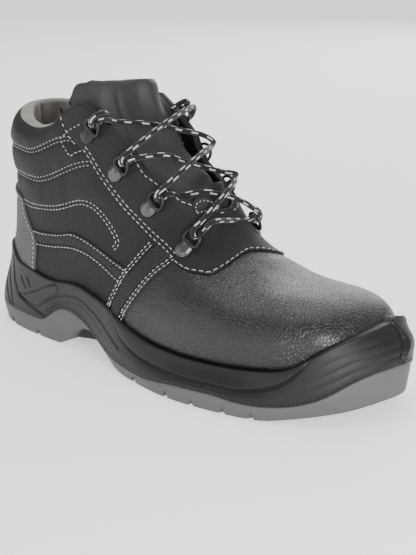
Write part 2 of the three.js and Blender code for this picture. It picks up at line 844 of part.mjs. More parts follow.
// A reinforcement on the leather: a layer of its own between two larger forms, inside a side-view line
const layerInner = outsideBody(gap)
const layerOuter = outsideBody(gap + overlayThickness)
const layer = layerOuter.subtract(layerInner)

// Everything below the cup's rim, past its outer side
function belowRim() {
  const heightAt = (x) => soleHeight(rimColumn, x) + gap
  const rim = ringAt(stations, heightAt, (_, k) => rimOut[k])
  const wider = ringAt(stations, heightAt, (_, k) => rimOut[k] + heelOverhang)
  const low = ringAt(stations, () => -collarHeight, (_, k) => rimOut[k] + heelOverhang)
  return loft([rim, wider, low])
}
const cupClearance = belowRim()

function moved(points, x, z) {
  return points.map(([px, pz]) => [px + x, pz + z])
}

const facingLine = (side) => lineOn(side, [...facingRear, ...facingClose])
const counterLine = counterEdge.map(sideView)
const strapLine = [...strapRear, ...strapFront].map(sideView)
const bandLine = [...bandUpper, ...bandLower].map(sideView)

function facing() {
  const outline = sidePrism(-1, facingLine(-1)).add(sidePrism(1, facingLine(1)))
  return layer.intersect(outline).subtract(aboveCollar(-gap)).subtract(throatBody())
}

function heelCounter() {
  return layer.intersect(prismOf(counterLine)).subtract(cupClearance)
}

function strap(side) {
  return layer
    .intersect(sidePrism(side, strapLine))
    .subtract(cupClearance)
    .subtract(prismOf(moved(facingLine(side), -gap, -2 * gap)))
}

function sideBand(side) {
  return layer
    .intersect(sidePrism(side, bandLine))
    .subtract(prismOf(moved(counterLine, 2 * gap, 0)))
    .subtract(prismOf(moved(strapLine, -2 * gap, gap)))
}

// Place on the leather at a point of the side view, with the way out of it
function seatOn(side, [x, z]) {
  const ray = new THREE.Raycaster(new THREE.Vector3(x, side * 2 * ballWidth, z), new THREE.Vector3(0, -side, 0))
  const hit = ray.intersectObject(leatherMesh)[0]
  return { point: hit.point, outward: hit.face.normal.clone() }
}

// Half-round plate with the bent wire loop that the lace runs through, X towards the throat
const loopStart = ringPlateLength - ringPlateWidth / 2 + ringWire / 2
function ringBody() {
  const half = ringPlateWidth / 2
  const outline = new THREE.Shape()
  outline.moveTo(ringPlateLength - half, -half)
  outline.lineTo(ringPlateLength - half, half)
  outline.lineTo(0, half)
  outline.absarc(0, 0, half, Math.PI / 2, 1.5 * Math.PI, false)
  const plate = new THREE.ExtrudeGeometry(outline, {
    depth: ringPlateThickness,
    curveSegments: 4,
    bevelEnabled: false,
  })
  const loop = new THREE.TorusGeometry((ringLoopWidth - ringWire) / 2, ringWire / 2, 4, 10)
  loop.scale((ringLoopReach - ringWire) / (ringLoopWidth - ringWire), 1, 1)
  loop.rotateY(-ringTilt)
  loop.translate(loopStart + (ringLoopReach - ringWire) / 2, 0, ringPlateThickness / 2 + ringWire)
  const bar = new THREE.BoxGeometry(ringWire, ringLoopWidth - ringWire, ringPlateThickness)
  bar.translate(ringPlateLength - half, 0, ringPlateThickness / 2)
  return solidOf(plate).add(solidOf(bar)).add(solidOf(loop))
}

const ringLift = overlayThickness + 3.4 * gap
const ringSolid = ringBody()
function ringFrame(side, [plateX, plateZ, loopX, loopZ]) {
  const [from, to] = lineOn(side, [[plateX, plateZ], [loopX, loopZ]])
  const { point, outward } = seatOn(side, from)
  const ahead = seatOn(side, to)
  outward.add(ahead.outward).normalize()
  const heading = ahead.point.sub(point)
  heading.addScaledVector(outward, -heading.dot(outward)).normalize()
  const across = new THREE.Vector3().crossVectors(outward, heading)
  const origin = point.clone().addScaledVector(outward, ringLift)
  return new THREE.Matrix4().makeBasis(heading, across, outward).setPosition(origin)
}

// Lace runs over the instep. Columns: outer D-ring, inner D-ring, rise above the straight line between them
// as a share of ballWidth
const laceRuns = [
  [0, 1, 0.035],
  [1, 0, 0.085],
  [1, 2, 0.1],
  [2, 1, 0.07],
  [2, 3, 0.1],
  [3, 2, 0.1],
  [3, 3, 0.06],
]

// Middle of the lace just beyond a D-ring
function laceStart(side, row) {
  const reach = loopStart + ringLoopReach + laceDiameter
  const tip = ringPlateThickness / 2 + ringWire + Math.sin(ringTilt) * ringLoopReach
  const height = tip + laceDiameter / 4
  return new THREE.Vector3(reach, 0, height).applyMatrix4(ringFrame(side, row))
}

function laceRun([outerRing, innerRing, rise]) {
  const start = laceStart(-1, ringRows[outerRing])
  const end = laceStart(1, ringRows[innerRing])
  const outOfInstep = new THREE.Vector3(Math.sin(instepSlope), 0, Math.cos(instepSlope))
  const steps = 5
  const points = Array.from({ length: steps + 1 }, (_, i) => {
    const t = i / steps
    return start.clone().lerp(end, t).addScaledVector(outOfInstep, rise * ballWidth * 4 * t * (1 - t))
  })
  return tubeBody(new THREE.CatmullRomCurve3(points), laceDiameter / 2, 5, steps)
}

function laceCrossings() {
  return laceRuns.map(laceRun).reduce((a, b) => a.add(b))
}

function laceEnd(side) {
  const depth = upperWall + 2.4 * gap + laceDiameter / 2
  const points = lineOn(side, laceEndRoute).map((place) => {
    const { point, outward } = seatOn(side, place)
    return point.clone().addScaledVector(outward, -depth)
  })
  return tubeBody(new THREE.CatmullRomCurve3(points), laceDiameter / 2, 6, 6)
}

const boot = new THREE.Group()

function place(name, solid, material) {
  const mesh = new THREE.Mesh(geometryOf(solid), material)
  mesh.name = name
  boot.add(mesh)
  return mesh
}

place('outsole', outsole(), greyRubber)
place('midsole', midsole(), blackFoam)
place('upper', upper(), leather)
place('insole', insole(), insoleCloth)
place('tongue', tongue(), softLeather)
place('facing', facing(), leather)
place('heel_counter', heelCounter(), grainLeather)

const sides = [
  ['outer', -1],
  ['inner', 1],
]
for (const [sideName, side] of sides) {
  place(`strap_${sideName}`, strap(side), grainLeather)
  place(`side_band_${sideName}`, sideBand(side), grainLeather)
  place(`lace_end_${sideName}`, laceEnd(side), laceCord)
  ringRows.forEach((row, k) => {
    const ring = place(`d_ring_${sideName}_${k + 1}`, ringSolid, blackMetal)
    ring.applyMatrix4(ringFrame(side, row))
  })
}

place('lace_crossings', laceCrossings(), laceCord)

export default boot
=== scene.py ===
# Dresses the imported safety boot: leather upper, padded collar and tongue, moulded sole, D-rings and lace.
# Forms are worked out in millimetres, as a last maker would, and become metres when a mesh is made.
import math

import bmesh
import bpy
import numpy as np
from mathutils import Matrix, Vector
from mathutils.bvhtree import BVHTree
from mathutils.geometry import delaunay_2d_cdt
from mathutils.kdtree import KDTree


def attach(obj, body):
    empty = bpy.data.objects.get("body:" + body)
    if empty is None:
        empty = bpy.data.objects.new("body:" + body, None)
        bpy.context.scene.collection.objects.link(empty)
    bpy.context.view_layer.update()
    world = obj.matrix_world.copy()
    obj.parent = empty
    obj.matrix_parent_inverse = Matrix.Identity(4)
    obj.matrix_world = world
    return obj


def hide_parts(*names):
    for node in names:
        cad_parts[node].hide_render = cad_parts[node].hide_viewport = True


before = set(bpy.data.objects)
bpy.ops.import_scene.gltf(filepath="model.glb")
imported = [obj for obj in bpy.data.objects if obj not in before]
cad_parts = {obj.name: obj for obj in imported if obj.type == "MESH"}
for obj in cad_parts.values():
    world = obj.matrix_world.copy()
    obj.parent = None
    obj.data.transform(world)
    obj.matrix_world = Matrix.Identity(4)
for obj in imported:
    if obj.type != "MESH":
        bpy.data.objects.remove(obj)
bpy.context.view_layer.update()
mm = 0.001

# The camera stands where the photographer stood, level with the shaft and to the outer side of the toe
view = {
    "azimuth": 44.8,
    "elevation": 17.0,
    "roll": 0.63,
    "distance": 0.9,
    "target": (0.1186, 0.0, 0.0521),
    "lens": 99.63,
    "sensor": 36,
    "nearest": 0.02,
}


def addObject(name, data):
    thing = bpy.data.objects.new(name, data)
    bpy.context.scene.collection.objects.link(thing)
    return thing


def makeCamera():
    a, e, r = (math.radians(view[key]) for key in ("azimuth", "elevation", "roll"))
    back = Vector((math.sin(a) * math.cos(e), -math.cos(a) * math.cos(e), math.sin(e)))
    right = Vector((math.cos(a), math.sin(a), 0))
    up = back.cross(right)
    across = right * math.cos(r) - up * math.sin(r)
    upright = right * math.sin(r) + up * math.cos(r)
    data = bpy.data.cameras.new("camera")
    data.lens = view["lens"]
    data.sensor_width = view["sensor"]
    data.clip_start = view["nearest"]
    camera = addObject("camera", data)
    turned = Matrix((across, upright, back)).transposed().to_4x4()
    camera.matrix_world = Matrix.Translation(Vector(view["target"]) + back * view["distance"]) @ turned
    bpy.context.scene.camera = camera


makeCamera()
print("camera set")


# Shader maths by overloaded operators; every other node is made by the sheet's add
class Wire:
    def __init__(self, sheet, socket):
        self.sheet, self.socket = sheet, socket

    def math(self, operation, *others, clamp=False):
        return self.sheet.add("ShaderNodeMath", {"operation": operation, "use_clamp": clamp}, self, *others)

    def __add__(self, other):
        return self.math("ADD", other)

    def __sub__(self, other):
        return self.math("SUBTRACT", other)

    def __rsub__(self, other):
        return self.sheet.add("ShaderNodeMath", {"operation": "SUBTRACT"}, other, self)

    def __mul__(self, other):
        return self.math("MULTIPLY", other)

    def __truediv__(self, other):
        return self.math("DIVIDE", other)

    def above(self, edge, soft):
        settings = {"interpolation_type": "SMOOTHSTEP"}
        return self.sheet.add("ShaderNodeMapRange", settings, self, edge - soft, edge + soft)


class Sheet:
    def __init__(self, name, **constants):
        self.material = bpy.data.materials.new(name)
        self.material.use_nodes = True
        self.tree = self.material.node_tree
        self.shader = next(n for n in self.tree.nodes if n.type == "BSDF_PRINCIPLED")
        for socket, value in constants.items():
            self.shader.inputs[socket.replace("_", " ")].default_value = value

    def add(self, kind, settings=None, *inputs, out=0, at=None, **named):
        # inputs are placed in order, by number in at, or by name
        node = self.tree.nodes.new(kind)
        for key, value in (settings or {}).items():
            setattr(node, key, value)
        placed = {**dict(enumerate(inputs)), **(at or {}), **{k.replace("_", " "): v for k, v in named.items()}}
        for key, value in placed.items():
            if isinstance(value, Wire):
                self.tree.links.new(value.socket, node.inputs[key])
            else:
                node.inputs[key].default_value = value
        return Wire(self, node.outputs[out])

    def feed(self, **sockets):
        for name, wire in sockets.items():
            self.tree.links.new(wire.socket, self.shader.inputs[name.replace("_", " ")])
        return self.material

    def place(self, *stretch):
        spot = self.add("ShaderNodeTexCoord", out=3)
        return self.add("ShaderNodeMapping", Vector=spot, Scale=stretch) if stretch else spot

    def noise(self, size, detail, rough, where=None):
        return self.add("ShaderNodeTexNoise", Vector=where or self.place(), Scale=1 / size, Detail=detail,
                        Roughness=rough)

    def cells(self, size, feature="F1", where=None):
        return self.add("ShaderNodeTexVoronoi", {"feature": feature}, Vector=where or self.place(), Scale=1 / size)

    def bands(self, scale, wobble):
        return self.add("ShaderNodeTexWave", {"bands_direction": "DIAGONAL"}, self.place(), scale, wobble)

    def mix(self, share, a, b):
        a, b = (tone if isinstance(tone, Wire) else (*tone, 1) for tone in (a, b))
        return self.add("ShaderNodeMix", {"data_type": "RGBA"}, share, out=2, at={6: a, 7: b})

    def bump(self, height, distance, strength, **before):
        return self.add("ShaderNodeBump", Strength=strength, Distance=distance, Height=height, **before)

    def stored(self, name):
        return self.add("ShaderNodeAttribute", {"attribute_name": name}, out=2)


def toned(tone, factor=1.0, lift=0.0):
    return tuple(c * factor + lift for c in tone)


# Finishes
def leatherFinish(name, tone, roughness, grain, grainDepth, haze, coat=0.0, shineLevel=0.3):
    # grain: size of the pebbles; haze: how much lighter the rubbed parts are
    sheet = Sheet(name, Coat_Weight=coat, Coat_Roughness=0.3, Specular_IOR_Level=shineLevel)
    large = sheet.noise(0.035, 4, 0.55)
    fine = sheet.noise(0.0021, 3, 0.6)
    hollow = sheet.cells(grain, "DISTANCE_TO_EDGE").above(0.09, 0.09)
    softer = sheet.cells(grain * 2.3, "SMOOTH_F1")
    colour = sheet.mix(large.above(0.52, 0.22), tone, toned(tone, 1 + haze, 0.5 * haze))
    # painted shade: the hollows between the pebbles are darkened
    colour = sheet.mix((1 - hollow) * 0.7, colour, toned(tone, 0.7))
    # painted shade: the leather's colour is darkened along the stitch rows and the overlays' edges
    colour = sheet.mix(sheet.stored("seam"), colour, toned(tone, 0.45))
    normal = sheet.bump(hollow * 0.6 + fine * 0.5 + softer * 0.25, grainDepth, 0.9)
    normal = sheet.bump(sheet.noise(0.012, 3, 0.55), 0.0007, 0.35, Normal=normal)
    shine = large * 0.14 + (1 - hollow) * 0.12 + fine * 0.1 + (roughness - 0.17)
    return sheet.feed(Base_Color=colour, Roughness=shine, Normal=normal)


def liningFinish():
    sheet = Sheet("lining", Sheen_Weight=0.3)
    pile = sheet.noise(0.0012, 4, 0.65)
    patch = sheet.noise(0.02, 3, 0.5)
    colour = sheet.mix(patch.above(0.5, 0.3), (0.17, 0.159, 0.14), (0.26, 0.243, 0.214))
    colour = sheet.mix(pile * 0.35, colour, (0.15, 0.14, 0.12))
    normal = sheet.bump(pile * 0.7 + sheet.bands(900.0, 1.5) * 0.3, 0.0004, 0.8)
    return sheet.feed(Base_Color=colour, Roughness=pile * 0.15 + 0.78, Normal=normal)


def rubberFinish(name, tone, roughness, haze):
    sheet = Sheet(name)
    patch = sheet.noise(0.03, 4, 0.6)
    grit = sheet.noise(0.00045, 3, 0.65)
    scuff = sheet.noise(0.006, 5, 0.7, where=sheet.place(1, 1, 2.5))
    colour = sheet.mix(patch.above(0.55, 0.25), tone, toned(tone, lift=haze))
    colour = sheet.mix(scuff.above(0.66, 0.08) * 0.4, colour, toned(tone, lift=haze * 1.6))
    shine = grit * 0.12 + patch * 0.12 + (roughness - 0.12)
    return sheet.feed(Base_Color=colour, Roughness=shine, Normal=sheet.bump(grit, 0.00022, 0.6))


def cupFinish():
    # "along" runs round the sole and "height" up from the seam, both in millimetres
    sheet = Sheet("black_cup_sole", Specular_IOR_Level=0.32)
    along, height = sheet.stored("along"), sheet.stored("height")
    patch = sheet.noise(0.03, 4, 0.6)
    grit = sheet.noise(0.0006, 3, 0.65)
    teeth = (along * 2.85).math("SINE") * 0.5 + 0.5
    low = 1 - height.above(2.6, 0.35)
    row = (height - 1.3).math("ABSOLUTE").above(0.22, 0.15)
    colour = sheet.mix(patch.above(0.55, 0.25), (0.0045, 0.0044, 0.0046), (0.0075, 0.0073, 0.0075))
    # painted shade: the low band is darkened between its teeth and along its middle groove
    colour = sheet.mix(low * (1 - teeth * row) * 0.6, colour, (0.002, 0.002, 0.002))
    normal = sheet.bump(grit, 0.00022, 0.6)
    normal = sheet.bump(low * teeth * row, 0.0005, 0.8, Normal=normal)
    return sheet.feed(Base_Color=colour, Roughness=grit * 0.12 + patch * 0.14 + 0.36, Normal=normal)


def metalFinish(name, tone, metallic, shineLevel=0.5):
    sheet = Sheet(name, Metallic=metallic, Specular_IOR_Level=shineLevel)
    patch = sheet.noise(0.004, 3, 0.6)
    cool = (tone, tone, tone * 1.03)
    colour = sheet.mix(patch.above(0.55, 0.2), cool, toned(cool, 1.5))
    normal = sheet.bump(sheet.noise(0.0011, 3, 0.6), 0.00008, 0.5)
    return sheet.feed(Base_Color=colour, Roughness=patch * 0.2 + 0.22, Normal=normal)


def threadFinish():
    sheet = Sheet("thread", Sheen_Weight=0.2)
    dirt = sheet.noise(0.01, 3, 0.6)
    colour = sheet.mix(dirt.above(0.5, 0.25), (0.3, 0.29, 0.275), (0.42, 0.41, 0.39))
    normal = sheet.bump(sheet.bands(3000.0, 1.0), 0.0001, 0.6)
    return sheet.feed(Base_Color=colour, Roughness=dirt * 0.1 + 0.7, Normal=normal)


def laceFinish():
    # "along" is in millimetres down the lace; "towards" and "aside" are the cosine and sine of the angle round it
    sheet = Sheet("lace_weave", Sheen_Weight=0.15, Specular_IOR_Level=0.25)
    along, towards, aside = (sheet.stored(key) for key in ("along", "towards", "aside"))
    # two rows of light flecks side by side, out of step
    repeat, offset, half, pick = 10.6, 0.3, 0.55, 3.6
    dash = (along / repeat).math("FRACT").above(0.6, 0.03)
    dashB = (along / repeat + offset).math("FRACT").above(0.6, 0.03)
    rowA = 1 - (aside - half).math("ABSOLUTE").above(0.24, 0.07)
    rowB = 1 - (aside + half).math("ABSOLUTE").above(0.24, 0.07)
    fleck = ((dash * rowA + dashB * rowB) * towards.above(0.0, 0.1)).math("ADD", 0.0, clamp=True)
    angle = aside.math("ARCTAN2", towards) * 8.0
    plait = (along * pick + angle).math("SINE") * (along * pick - angle).math("SINE") * 0.5 + 0.5
    fuzz = sheet.noise(0.0007, 3, 0.6)
    # painted shade: the grooves between the plait's strands are darker
    black = sheet.mix(plait, (0.003, 0.003, 0.0032), (0.011, 0.011, 0.012))
    colour = sheet.mix(fleck, black, (0.42, 0.42, 0.41))
    normal = sheet.bump(plait * 0.7 + fuzz * 0.4 + fleck * 0.3, 0.0003, 0.8)
    return sheet.feed(Base_Color=colour, Roughness=fuzz * 0.15 + 0.72, Normal=normal)


def clothFinish():
    sheet = Sheet("insole_cloth", Sheen_Weight=0.3)
    knit = sheet.cells(0.0016, where=sheet.place(1, 1.6, 1))
    worn = sheet.noise(0.03, 3, 0.5)
    colour = sheet.mix(worn.above(0.5, 0.25), (0.24, 0.225, 0.2), (0.33, 0.31, 0.28))
    # painted shade: the pits of the knit are darkened
    colour = sheet.mix((1 - knit) * 0.4, colour, (0.14, 0.13, 0.12))
    return sheet.feed(Base_Color=colour, Roughness=knit * 0.1 + 0.8, Normal=sheet.bump(knit, 0.0004, 0.7))


finishes = {
    "soft": leatherFinish("soft_black_leather", (0.0076, 0.0075, 0.0079), 0.6, 0.0011, 0.00012, 0.004),
    "tongue": leatherFinish("tongue_leather", (0.0175, 0.0173, 0.0177), 0.6, 0.0011, 0.00012, 0.006, shineLevel=0.45),
    "facing": leatherFinish("facing_leather", (0.0062, 0.0061, 0.0062), 0.58, 0.0010, 0.00011, 0.004),
    "vamp": leatherFinish("grained_vamp_leather", (0.0062, 0.0065, 0.0071), 0.38, 0.0019, 0.0003, 0.003, 0.1, 0.45),
    "strap": leatherFinish("strap_leather", (0.0105, 0.0096, 0.0092), 0.54, 0.0020, 0.0004, 0.005),
    # painted light: the heel counter's tone is lifted to light grey for the light falling on it from the left
    "counter": leatherFinish("counter_leather_lit_tone", (0.085, 0.084, 0.084), 0.58, 0.0019, 0.0004, 0.01),
    "lining": liningFinish(),
    "cup": cupFinish(),
    "tread": rubberFinish("grey_tread_rubber", (0.062, 0.061, 0.0615), 0.6, 0.012),
    # painted shade: the rubber under the arch is toned dark for the shade in its hollow
    "hollow": rubberFinish("arch_shade_rubber", (0.012, 0.0118, 0.012), 0.66, 0.004),
    "metal": metalFinish("worn_black_metal", 0.078, 0.85),
    "enamel": metalFinish("black_enamel", 0.012, 0.2, 0.35),
    "thread": threadFinish(),
    "lace": laceFinish(),
    "insole": clothFinish(),
}
print("finishes mixed:", len(finishes))


# A mesh piece from points in millimetres; loose facts per point ride along as attributes
def meshPiece(name, points, faces, finish, facts=None, kinds=None):
    mesh = bpy.data.meshes.new(name)
    mesh.from_pydata((np.asarray(points) * mm).tolist(), [], [list(map(int, f)) for f in faces])
    for key in finish:
        mesh.materials.append(finishes[key])
    if kinds is not None:
        mesh.polygons.foreach_set("material_index", np.asarray(kinds, dtype=np.int32))
    for key, values in (facts or {}).items():
        mesh.attributes.new(key, "FLOAT", "POINT").data.foreach_set("value", np.asarray(values, dtype=np.float32))
    mesh.polygons.foreach_set("use_smooth", [True] * len(mesh.polygons))
    mesh.update()
    return addObject(name, mesh)


def reshape(piece, change):
    # changes the mesh of a piece by bmesh operations
    shape = bmesh.new()
    shape.from_mesh(piece.data)
    change(shape)
    shape.to_mesh(piece.data)
    shape.free()
    piece.data.update()
    return piece


def joined(piece, merge=0.00001):
    # joins points that coincide and drops strays
    def join(shape):
        bmesh.ops.remove_doubles(shape, verts=shape.verts, dist=merge)
        bmesh.ops.delete(shape, geom=[v for v in shape.verts if not v.link_faces], context="VERTS")

    return reshape(piece, join)


def flipped(faces, start):
    # the same faces on later points, facing the other way
    return [[start + i for i in f][::-1] for f in faces]


def settle(piece, slotName, *nodes):
    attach(piece, "root")
    if nodes:
        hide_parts(*nodes)


# Sizes of the last and the leather, as in the part; the inner side is shifted forwards and down
last = {
    "upperLength": 280.0,
    "heelX": -38.0,
    "ballWidth": 101.0,
    "collarHeight": 138.0,
    "innerForward": 2.0,
    "innerDrop": 3.5,
}
# Thickness of the leather and of its padding, which is full above a share of the collar's height; how far the
# rolls swell and how square they are; what the lip's rounding adds; how far the collar leans in, and how much
# more at the back; how much taller the inner ear is
collar = {
    "wall": 2.4,
    "padding": 5.5,
    "paddingFrom": 0.58,
    "paddingFull": 0.78,
    "swell": 2.6,
    "roundness": 2.3,
    "lip": 2.4,
    "lean": 0.8,
    "leanBack": 2.6,
    "innerEar": 3.4,
}
# Hand-made unevenness: swing and size of each kind
unevenness = {"wide": (0.45, 26), "fine": (0.16, 11), "pucker": (0.35, 7.0), "dip": (-0.9, 9)}
# Tilted ovals of the last: back end x and z, front end x and z, outer and inner half width, widest place,
# squareness of the back and the front
lastSections = np.array([
    [-0.0125, 1.16, 0.383, 1.411, 0.36, 0.366, 0.48, 2.2, 2.3],
    [-0.005, 0.986, 0.4125, 1.277, 0.357, 0.356, 0.47, 2.25, 2.3],
    [-0.003, 0.797, 0.465, 1.147, 0.358, 0.347, 0.46, 2.3, 2.25],
    [0.004, 0.616, 0.515, 1.02, 0.356, 0.347, 0.45, 2.35, 2.2],
    [0.004, 0.435, 0.553, 0.91, 0.368, 0.347, 0.42, 2.45, 2.2],
    [0.011, 0.261, 0.587, 0.821, 0.386, 0.356, 0.38, 2.7, 2.2],
    [0.121, 0.188, 0.609, 0.717, 0.403, 0.376, 0.35, 3.4, 2.2],
    [0.296, 0.167, 0.634, 0.625, 0.436, 0.406, 0.34, 4, 2.2],
    [0.475, 0.145, 0.671, 0.544, 0.505, 0.446, 0.34, 4, 2.2],
    [0.629, 0.13, 0.729, 0.499, 0.525, 0.475, 0.34, 4, 2.3],
    [0.75, 0.138, 0.789, 0.46, 0.495, 0.485, 0.36, 4, 2.4],
    [0.861, 0.152, 0.861, 0.454, 0.431, 0.46, 0.38, 4, 2.5],
])
tongueFronts = np.array([
    [0.87, 2.8], [0.86, 2.8], [0.803, 3], [0.831, 3], [0.888, 2.8], [0.95, 2.5],
    [1, 2.2], [1, 2.2], [1, 2.2], [1, 2.3], [1, 2.4], [1, 2.5],
])
tongueSections = lastSections.copy()
tongueSections[:, 2:4] = lastSections[:, :2] + (lastSections[:, 2:4] - lastSections[:, :2]) * tongueFronts[:, :1]
tongueSections[:, 6] = lastSections[:, 6] / tongueFronts[:, 0]
tongueSections[:, 8] = tongueFronts[:, 1]
toeTip = {"along": 1.0, "aside": 0.05, "up": 0.27, "power": 2.3}
lastEnd = len(lastSections) - 1


def throughRows(rows, t):
    end = len(rows) - 1
    i = np.clip(np.floor(t).astype(int), 0, end - 1)
    f = (t - i)[:, None]
    p1, p2 = rows[i], rows[i + 1]
    p0 = np.where((i > 0)[:, None], rows[np.maximum(i - 1, 0)], 2 * p1 - p2)
    p3 = np.where((i + 2 <= end)[:, None], rows[np.minimum(i + 2, end)], 2 * p2 - p1)
    bend = 2 * p0 - 5 * p1 + 4 * p2 - p3
    return 0.5 * (2 * p1 + (p2 - p0) * f + bend * f * f + (3 * (p1 - p2) + p3 - p0) * f**3)


def rowsAt(stops, keys, rows):
    return np.stack([np.interp(stops, keys, column) for column in rows.T], 1)


def smoothStep(x, low, high):
    t = np.clip((x - low) / (high - low), 0, 1)
    return t * t * (3 - 2 * t)


def bell(distance, width):
    return np.exp(-((distance / width) ** 2))


def sectionPoints(rows, turn):
    angle = -np.pi / 2 - 2 * np.pi * turn
    across, rise = np.cos(angle), np.sin(angle)
    power = np.where(rise >= 0, rows[:, 8], rows[:, 7])
    reach = np.abs(rise) ** (2 / power)
    widest = rows[:, 6]
    share = np.where(rise >= 0, widest + (1 - widest) * reach, widest - widest * reach)
    half = np.where(across < 0, rows[:, 4], rows[:, 5]) * last["ballWidth"]
    x = last["heelX"] + (rows[:, 0] + (rows[:, 2] - rows[:, 0]) * share) * last["upperLength"]
    z = (rows[:, 1] + (rows[:, 3] - rows[:, 1]) * share) * last["collarHeight"]
    return np.stack([x, np.sign(across) * np.abs(across) ** (2 / power) * half, z], 1)


def lastPoints(place, turn, sections=lastSections):
    place, turn = (a.ravel() for a in np.broadcast_arrays(np.asarray(place, float), np.asarray(turn, float)))
    points = sectionPoints(throughRows(sections, np.minimum(place, lastEnd)), turn)
    toe = place > lastEnd
    if toe.any():
        quarter = np.clip(place[toe] - lastEnd, 0, 1) * np.pi / 2
        shrink = np.abs(np.cos(quarter)) ** (2 / toeTip["power"])
        forward = (1 - shrink ** toeTip["power"]) ** (1 / toeTip["power"])
        end = sections[lastEnd]
        before = throughRows(sections, np.array([lastEnd - 0.1]))[0]
        step = (toeTip["along"] - end[0]) * forward
        carried = np.repeat(end[None], len(step), 0)
        for column in range(1, 6):
            carried[:, column] += (end[column] - before[column]) / (end[0] - before[0]) * step
        carried[:, 0] = carried[:, 2] = end[0] + step
        tip = sectionPoints(carried, turn[toe])
        tip[:, 1] = toeTip["aside"] * last["ballWidth"] * (1 - shrink) + tip[:, 1] * shrink
        tip[:, 2] = toeTip["up"] * last["collarHeight"] * (1 - shrink) + tip[:, 2] * shrink
        points[toe] = tip
    return points


def lastSlopes(place, turn, sections=lastSections):
    # how a point moves per unit of place and of turn
    low, high = np.maximum(place - 0.02, 0), np.minimum(place + 0.02, lastEnd + 0.995)
    along = (lastPoints(high, turn, sections) - lastPoints(low, turn, sections)) / (high - low)[:, None]
    around = (lastPoints(place, turn + 0.003, sections) - lastPoints(place, turn - 0.003, sections)) / 0.006
    return along, around


def skinSteps(place, turn, move):
    # the steps in place and turn that come nearest to a move
    along, around = lastSlopes(place, turn)
    aa, ab, bb = (along * along).sum(1), (along * around).sum(1), (around * around).sum(1)
    ma, mb = (along * move).sum(1), (around * move).sum(1)
    det = np.maximum(aa * bb - ab * ab, 1e-6 * aa * bb + 1e-9)
    return (bb * ma - ab * mb) / det, (aa * mb - ab * ma) / det


def shiftPlaces(place, turn, move):
    placeStep, turnStep = skinSteps(place, turn, move)
    return place + placeStep, turn + turnStep


def unit(v):
    return v / np.maximum(np.linalg.norm(v, axis=-1, keepdims=True), 1e-9)


def lastNormals(place, turn, sections=lastSections):
    return unit(np.cross(*lastSlopes(place, turn, sections)))


# Smooth random field for hand-made unevenness: about 0 with a swing of 1
lattice = np.random.RandomState(7).uniform(-1, 1, (32, 32, 32))


def softNoise(points, size, shift=0.0):
    p = np.asarray(points) / size + 100.5 + shift
    i = np.floor(p).astype(int)
    f = p - i
    f = f * f * (3 - 2 * f)
    total = 0
    for corner in np.ndindex(2, 2, 2):
        weight = np.where(corner, f, 1 - f).prod(1)
        total = total + weight * lattice[tuple(((i + corner) % len(lattice)).T)]
    return total


# Lines of the pattern seen from the side, x and z
collarLine = np.array([
    [-66, 138.2], [-38, 138.9], [-25, 137.6], [-12, 134.4], [4, 132.3], [19, 135.6], [33, 144.2], [41, 148.6],
    [49, 152], [57, 153], [64, 149.8], [71, 140.5], [300, 140],
])
throatRows = np.array([
    [-2.5, 0], [-2.1, 5], [4, 13.4], [13, 19.2], [28.7, 23.5], [37.1, 25.5], [53, 26.5], [71, 29.4], [152, 42.4],
])
# The throat is cut by rays out of the instep: way up from its foot, half width
instepSlope = math.radians(48.2)
upInstep = np.array([-math.cos(instepSlope), 0, math.sin(instepSlope)])
outOfInstep = np.array([math.sin(instepSlope), 0, math.cos(instepSlope)])
throatFoot = np.array([131.1, 0, 97.6])
# Edges of the facing: down the side, x and z, and round the front, x and y
facingRear = [[33, 147], [36, 139.5], [39.8, 132.7], [49.8, 125], [55.4, 120], [66.1, 108.1], [81.7, 94.8], [93, 87.4],
              [105, 80.2], [117, 74.8], [127.6, 70], [137, 67.6], [144.6, 66]]
earFoot = facingRear[0][0]
facingFront = [[151, -30.3], [153.7, -21], [152.2, -7], [151.2, 0]]
# Seams under the padded rolls: height behind and in front, and the x between which it changes
rollSeams = [[116.6, 129.0, 0, 40.4], [99.6, 116.6, 5, 60], [83.5, 94, 9.6, 50]]
rollStrength = [1.0, 0.8, 0.45]


def onLine(x, rows):
    return np.interp(x, *np.asarray(rows, float)[:, :2].T)


def innerShift(x, z):
    # how far the inner side's lines lie in front of and below the outer side's
    share = (x - last["heelX"]) / last["upperLength"]
    weight = smoothStep(share, 0.1, 0.3) * smoothStep(z / last["collarHeight"], 0.6, 1)
    return last["innerForward"] * weight, last["innerDrop"] * weight


def patternPlace(points):
    # points of the inner side are moved back to where the outer side's lines are drawn
    x, y, z = points.T
    forward, drop = innerShift(x, z)
    return x - forward * (y > 0), z + drop * (y > 0)


def behindFacing(x, z):
    # the padding ends at a line that slopes back from the ear
    return smoothStep(earFoot + 146 - z - x, 0, 0.09 * last["upperLength"])


def facingX(z):
    return onLine(z, np.array(facingRear)[::-1, ::-1])


def rollHeight(points):
    # height of the padded rolls over the last; the top one is drawn in at its edge
    x, z = patternPlace(points)
    top = onLine(x, collarLine)
    levels = [top] + [a + (b - a) * smoothStep(x, low, high) for a, b, low, high in rollSeams]
    inFront = smoothStep(facingX(z) - x, 0.5, 12)
    height = np.zeros(len(x))
    for k, strength in enumerate(rollStrength):
        t = (z - levels[k + 1]) / np.maximum(levels[k] - levels[k + 1], 1)
        inside = (t > 0) & (t < 1)
        dome = np.sqrt(np.clip(1 - np.abs(2 * t - 1) ** collar["roundness"], 0, 1))
        if k == 0:
            dome = dome * smoothStep(top - z, -0.5, 8)
        height = np.where(inside, collar["swell"] * strength * dome * inFront, height)
    return height


def wallAt(points):
    x, z = patternPlace(points)
    high = smoothStep(z / last["collarHeight"], collar["paddingFrom"], collar["paddingFull"])
    return collar["wall"] + collar["padding"] * high * behindFacing(x, z)


def lipAt(points):
    # half the thickness at the opening, where the collar's padding is rounded
    x, z = patternPlace(points)
    return wallAt(points) / 2 + collar["lip"] * smoothStep(z, 104, 124) * behindFacing(x, z)


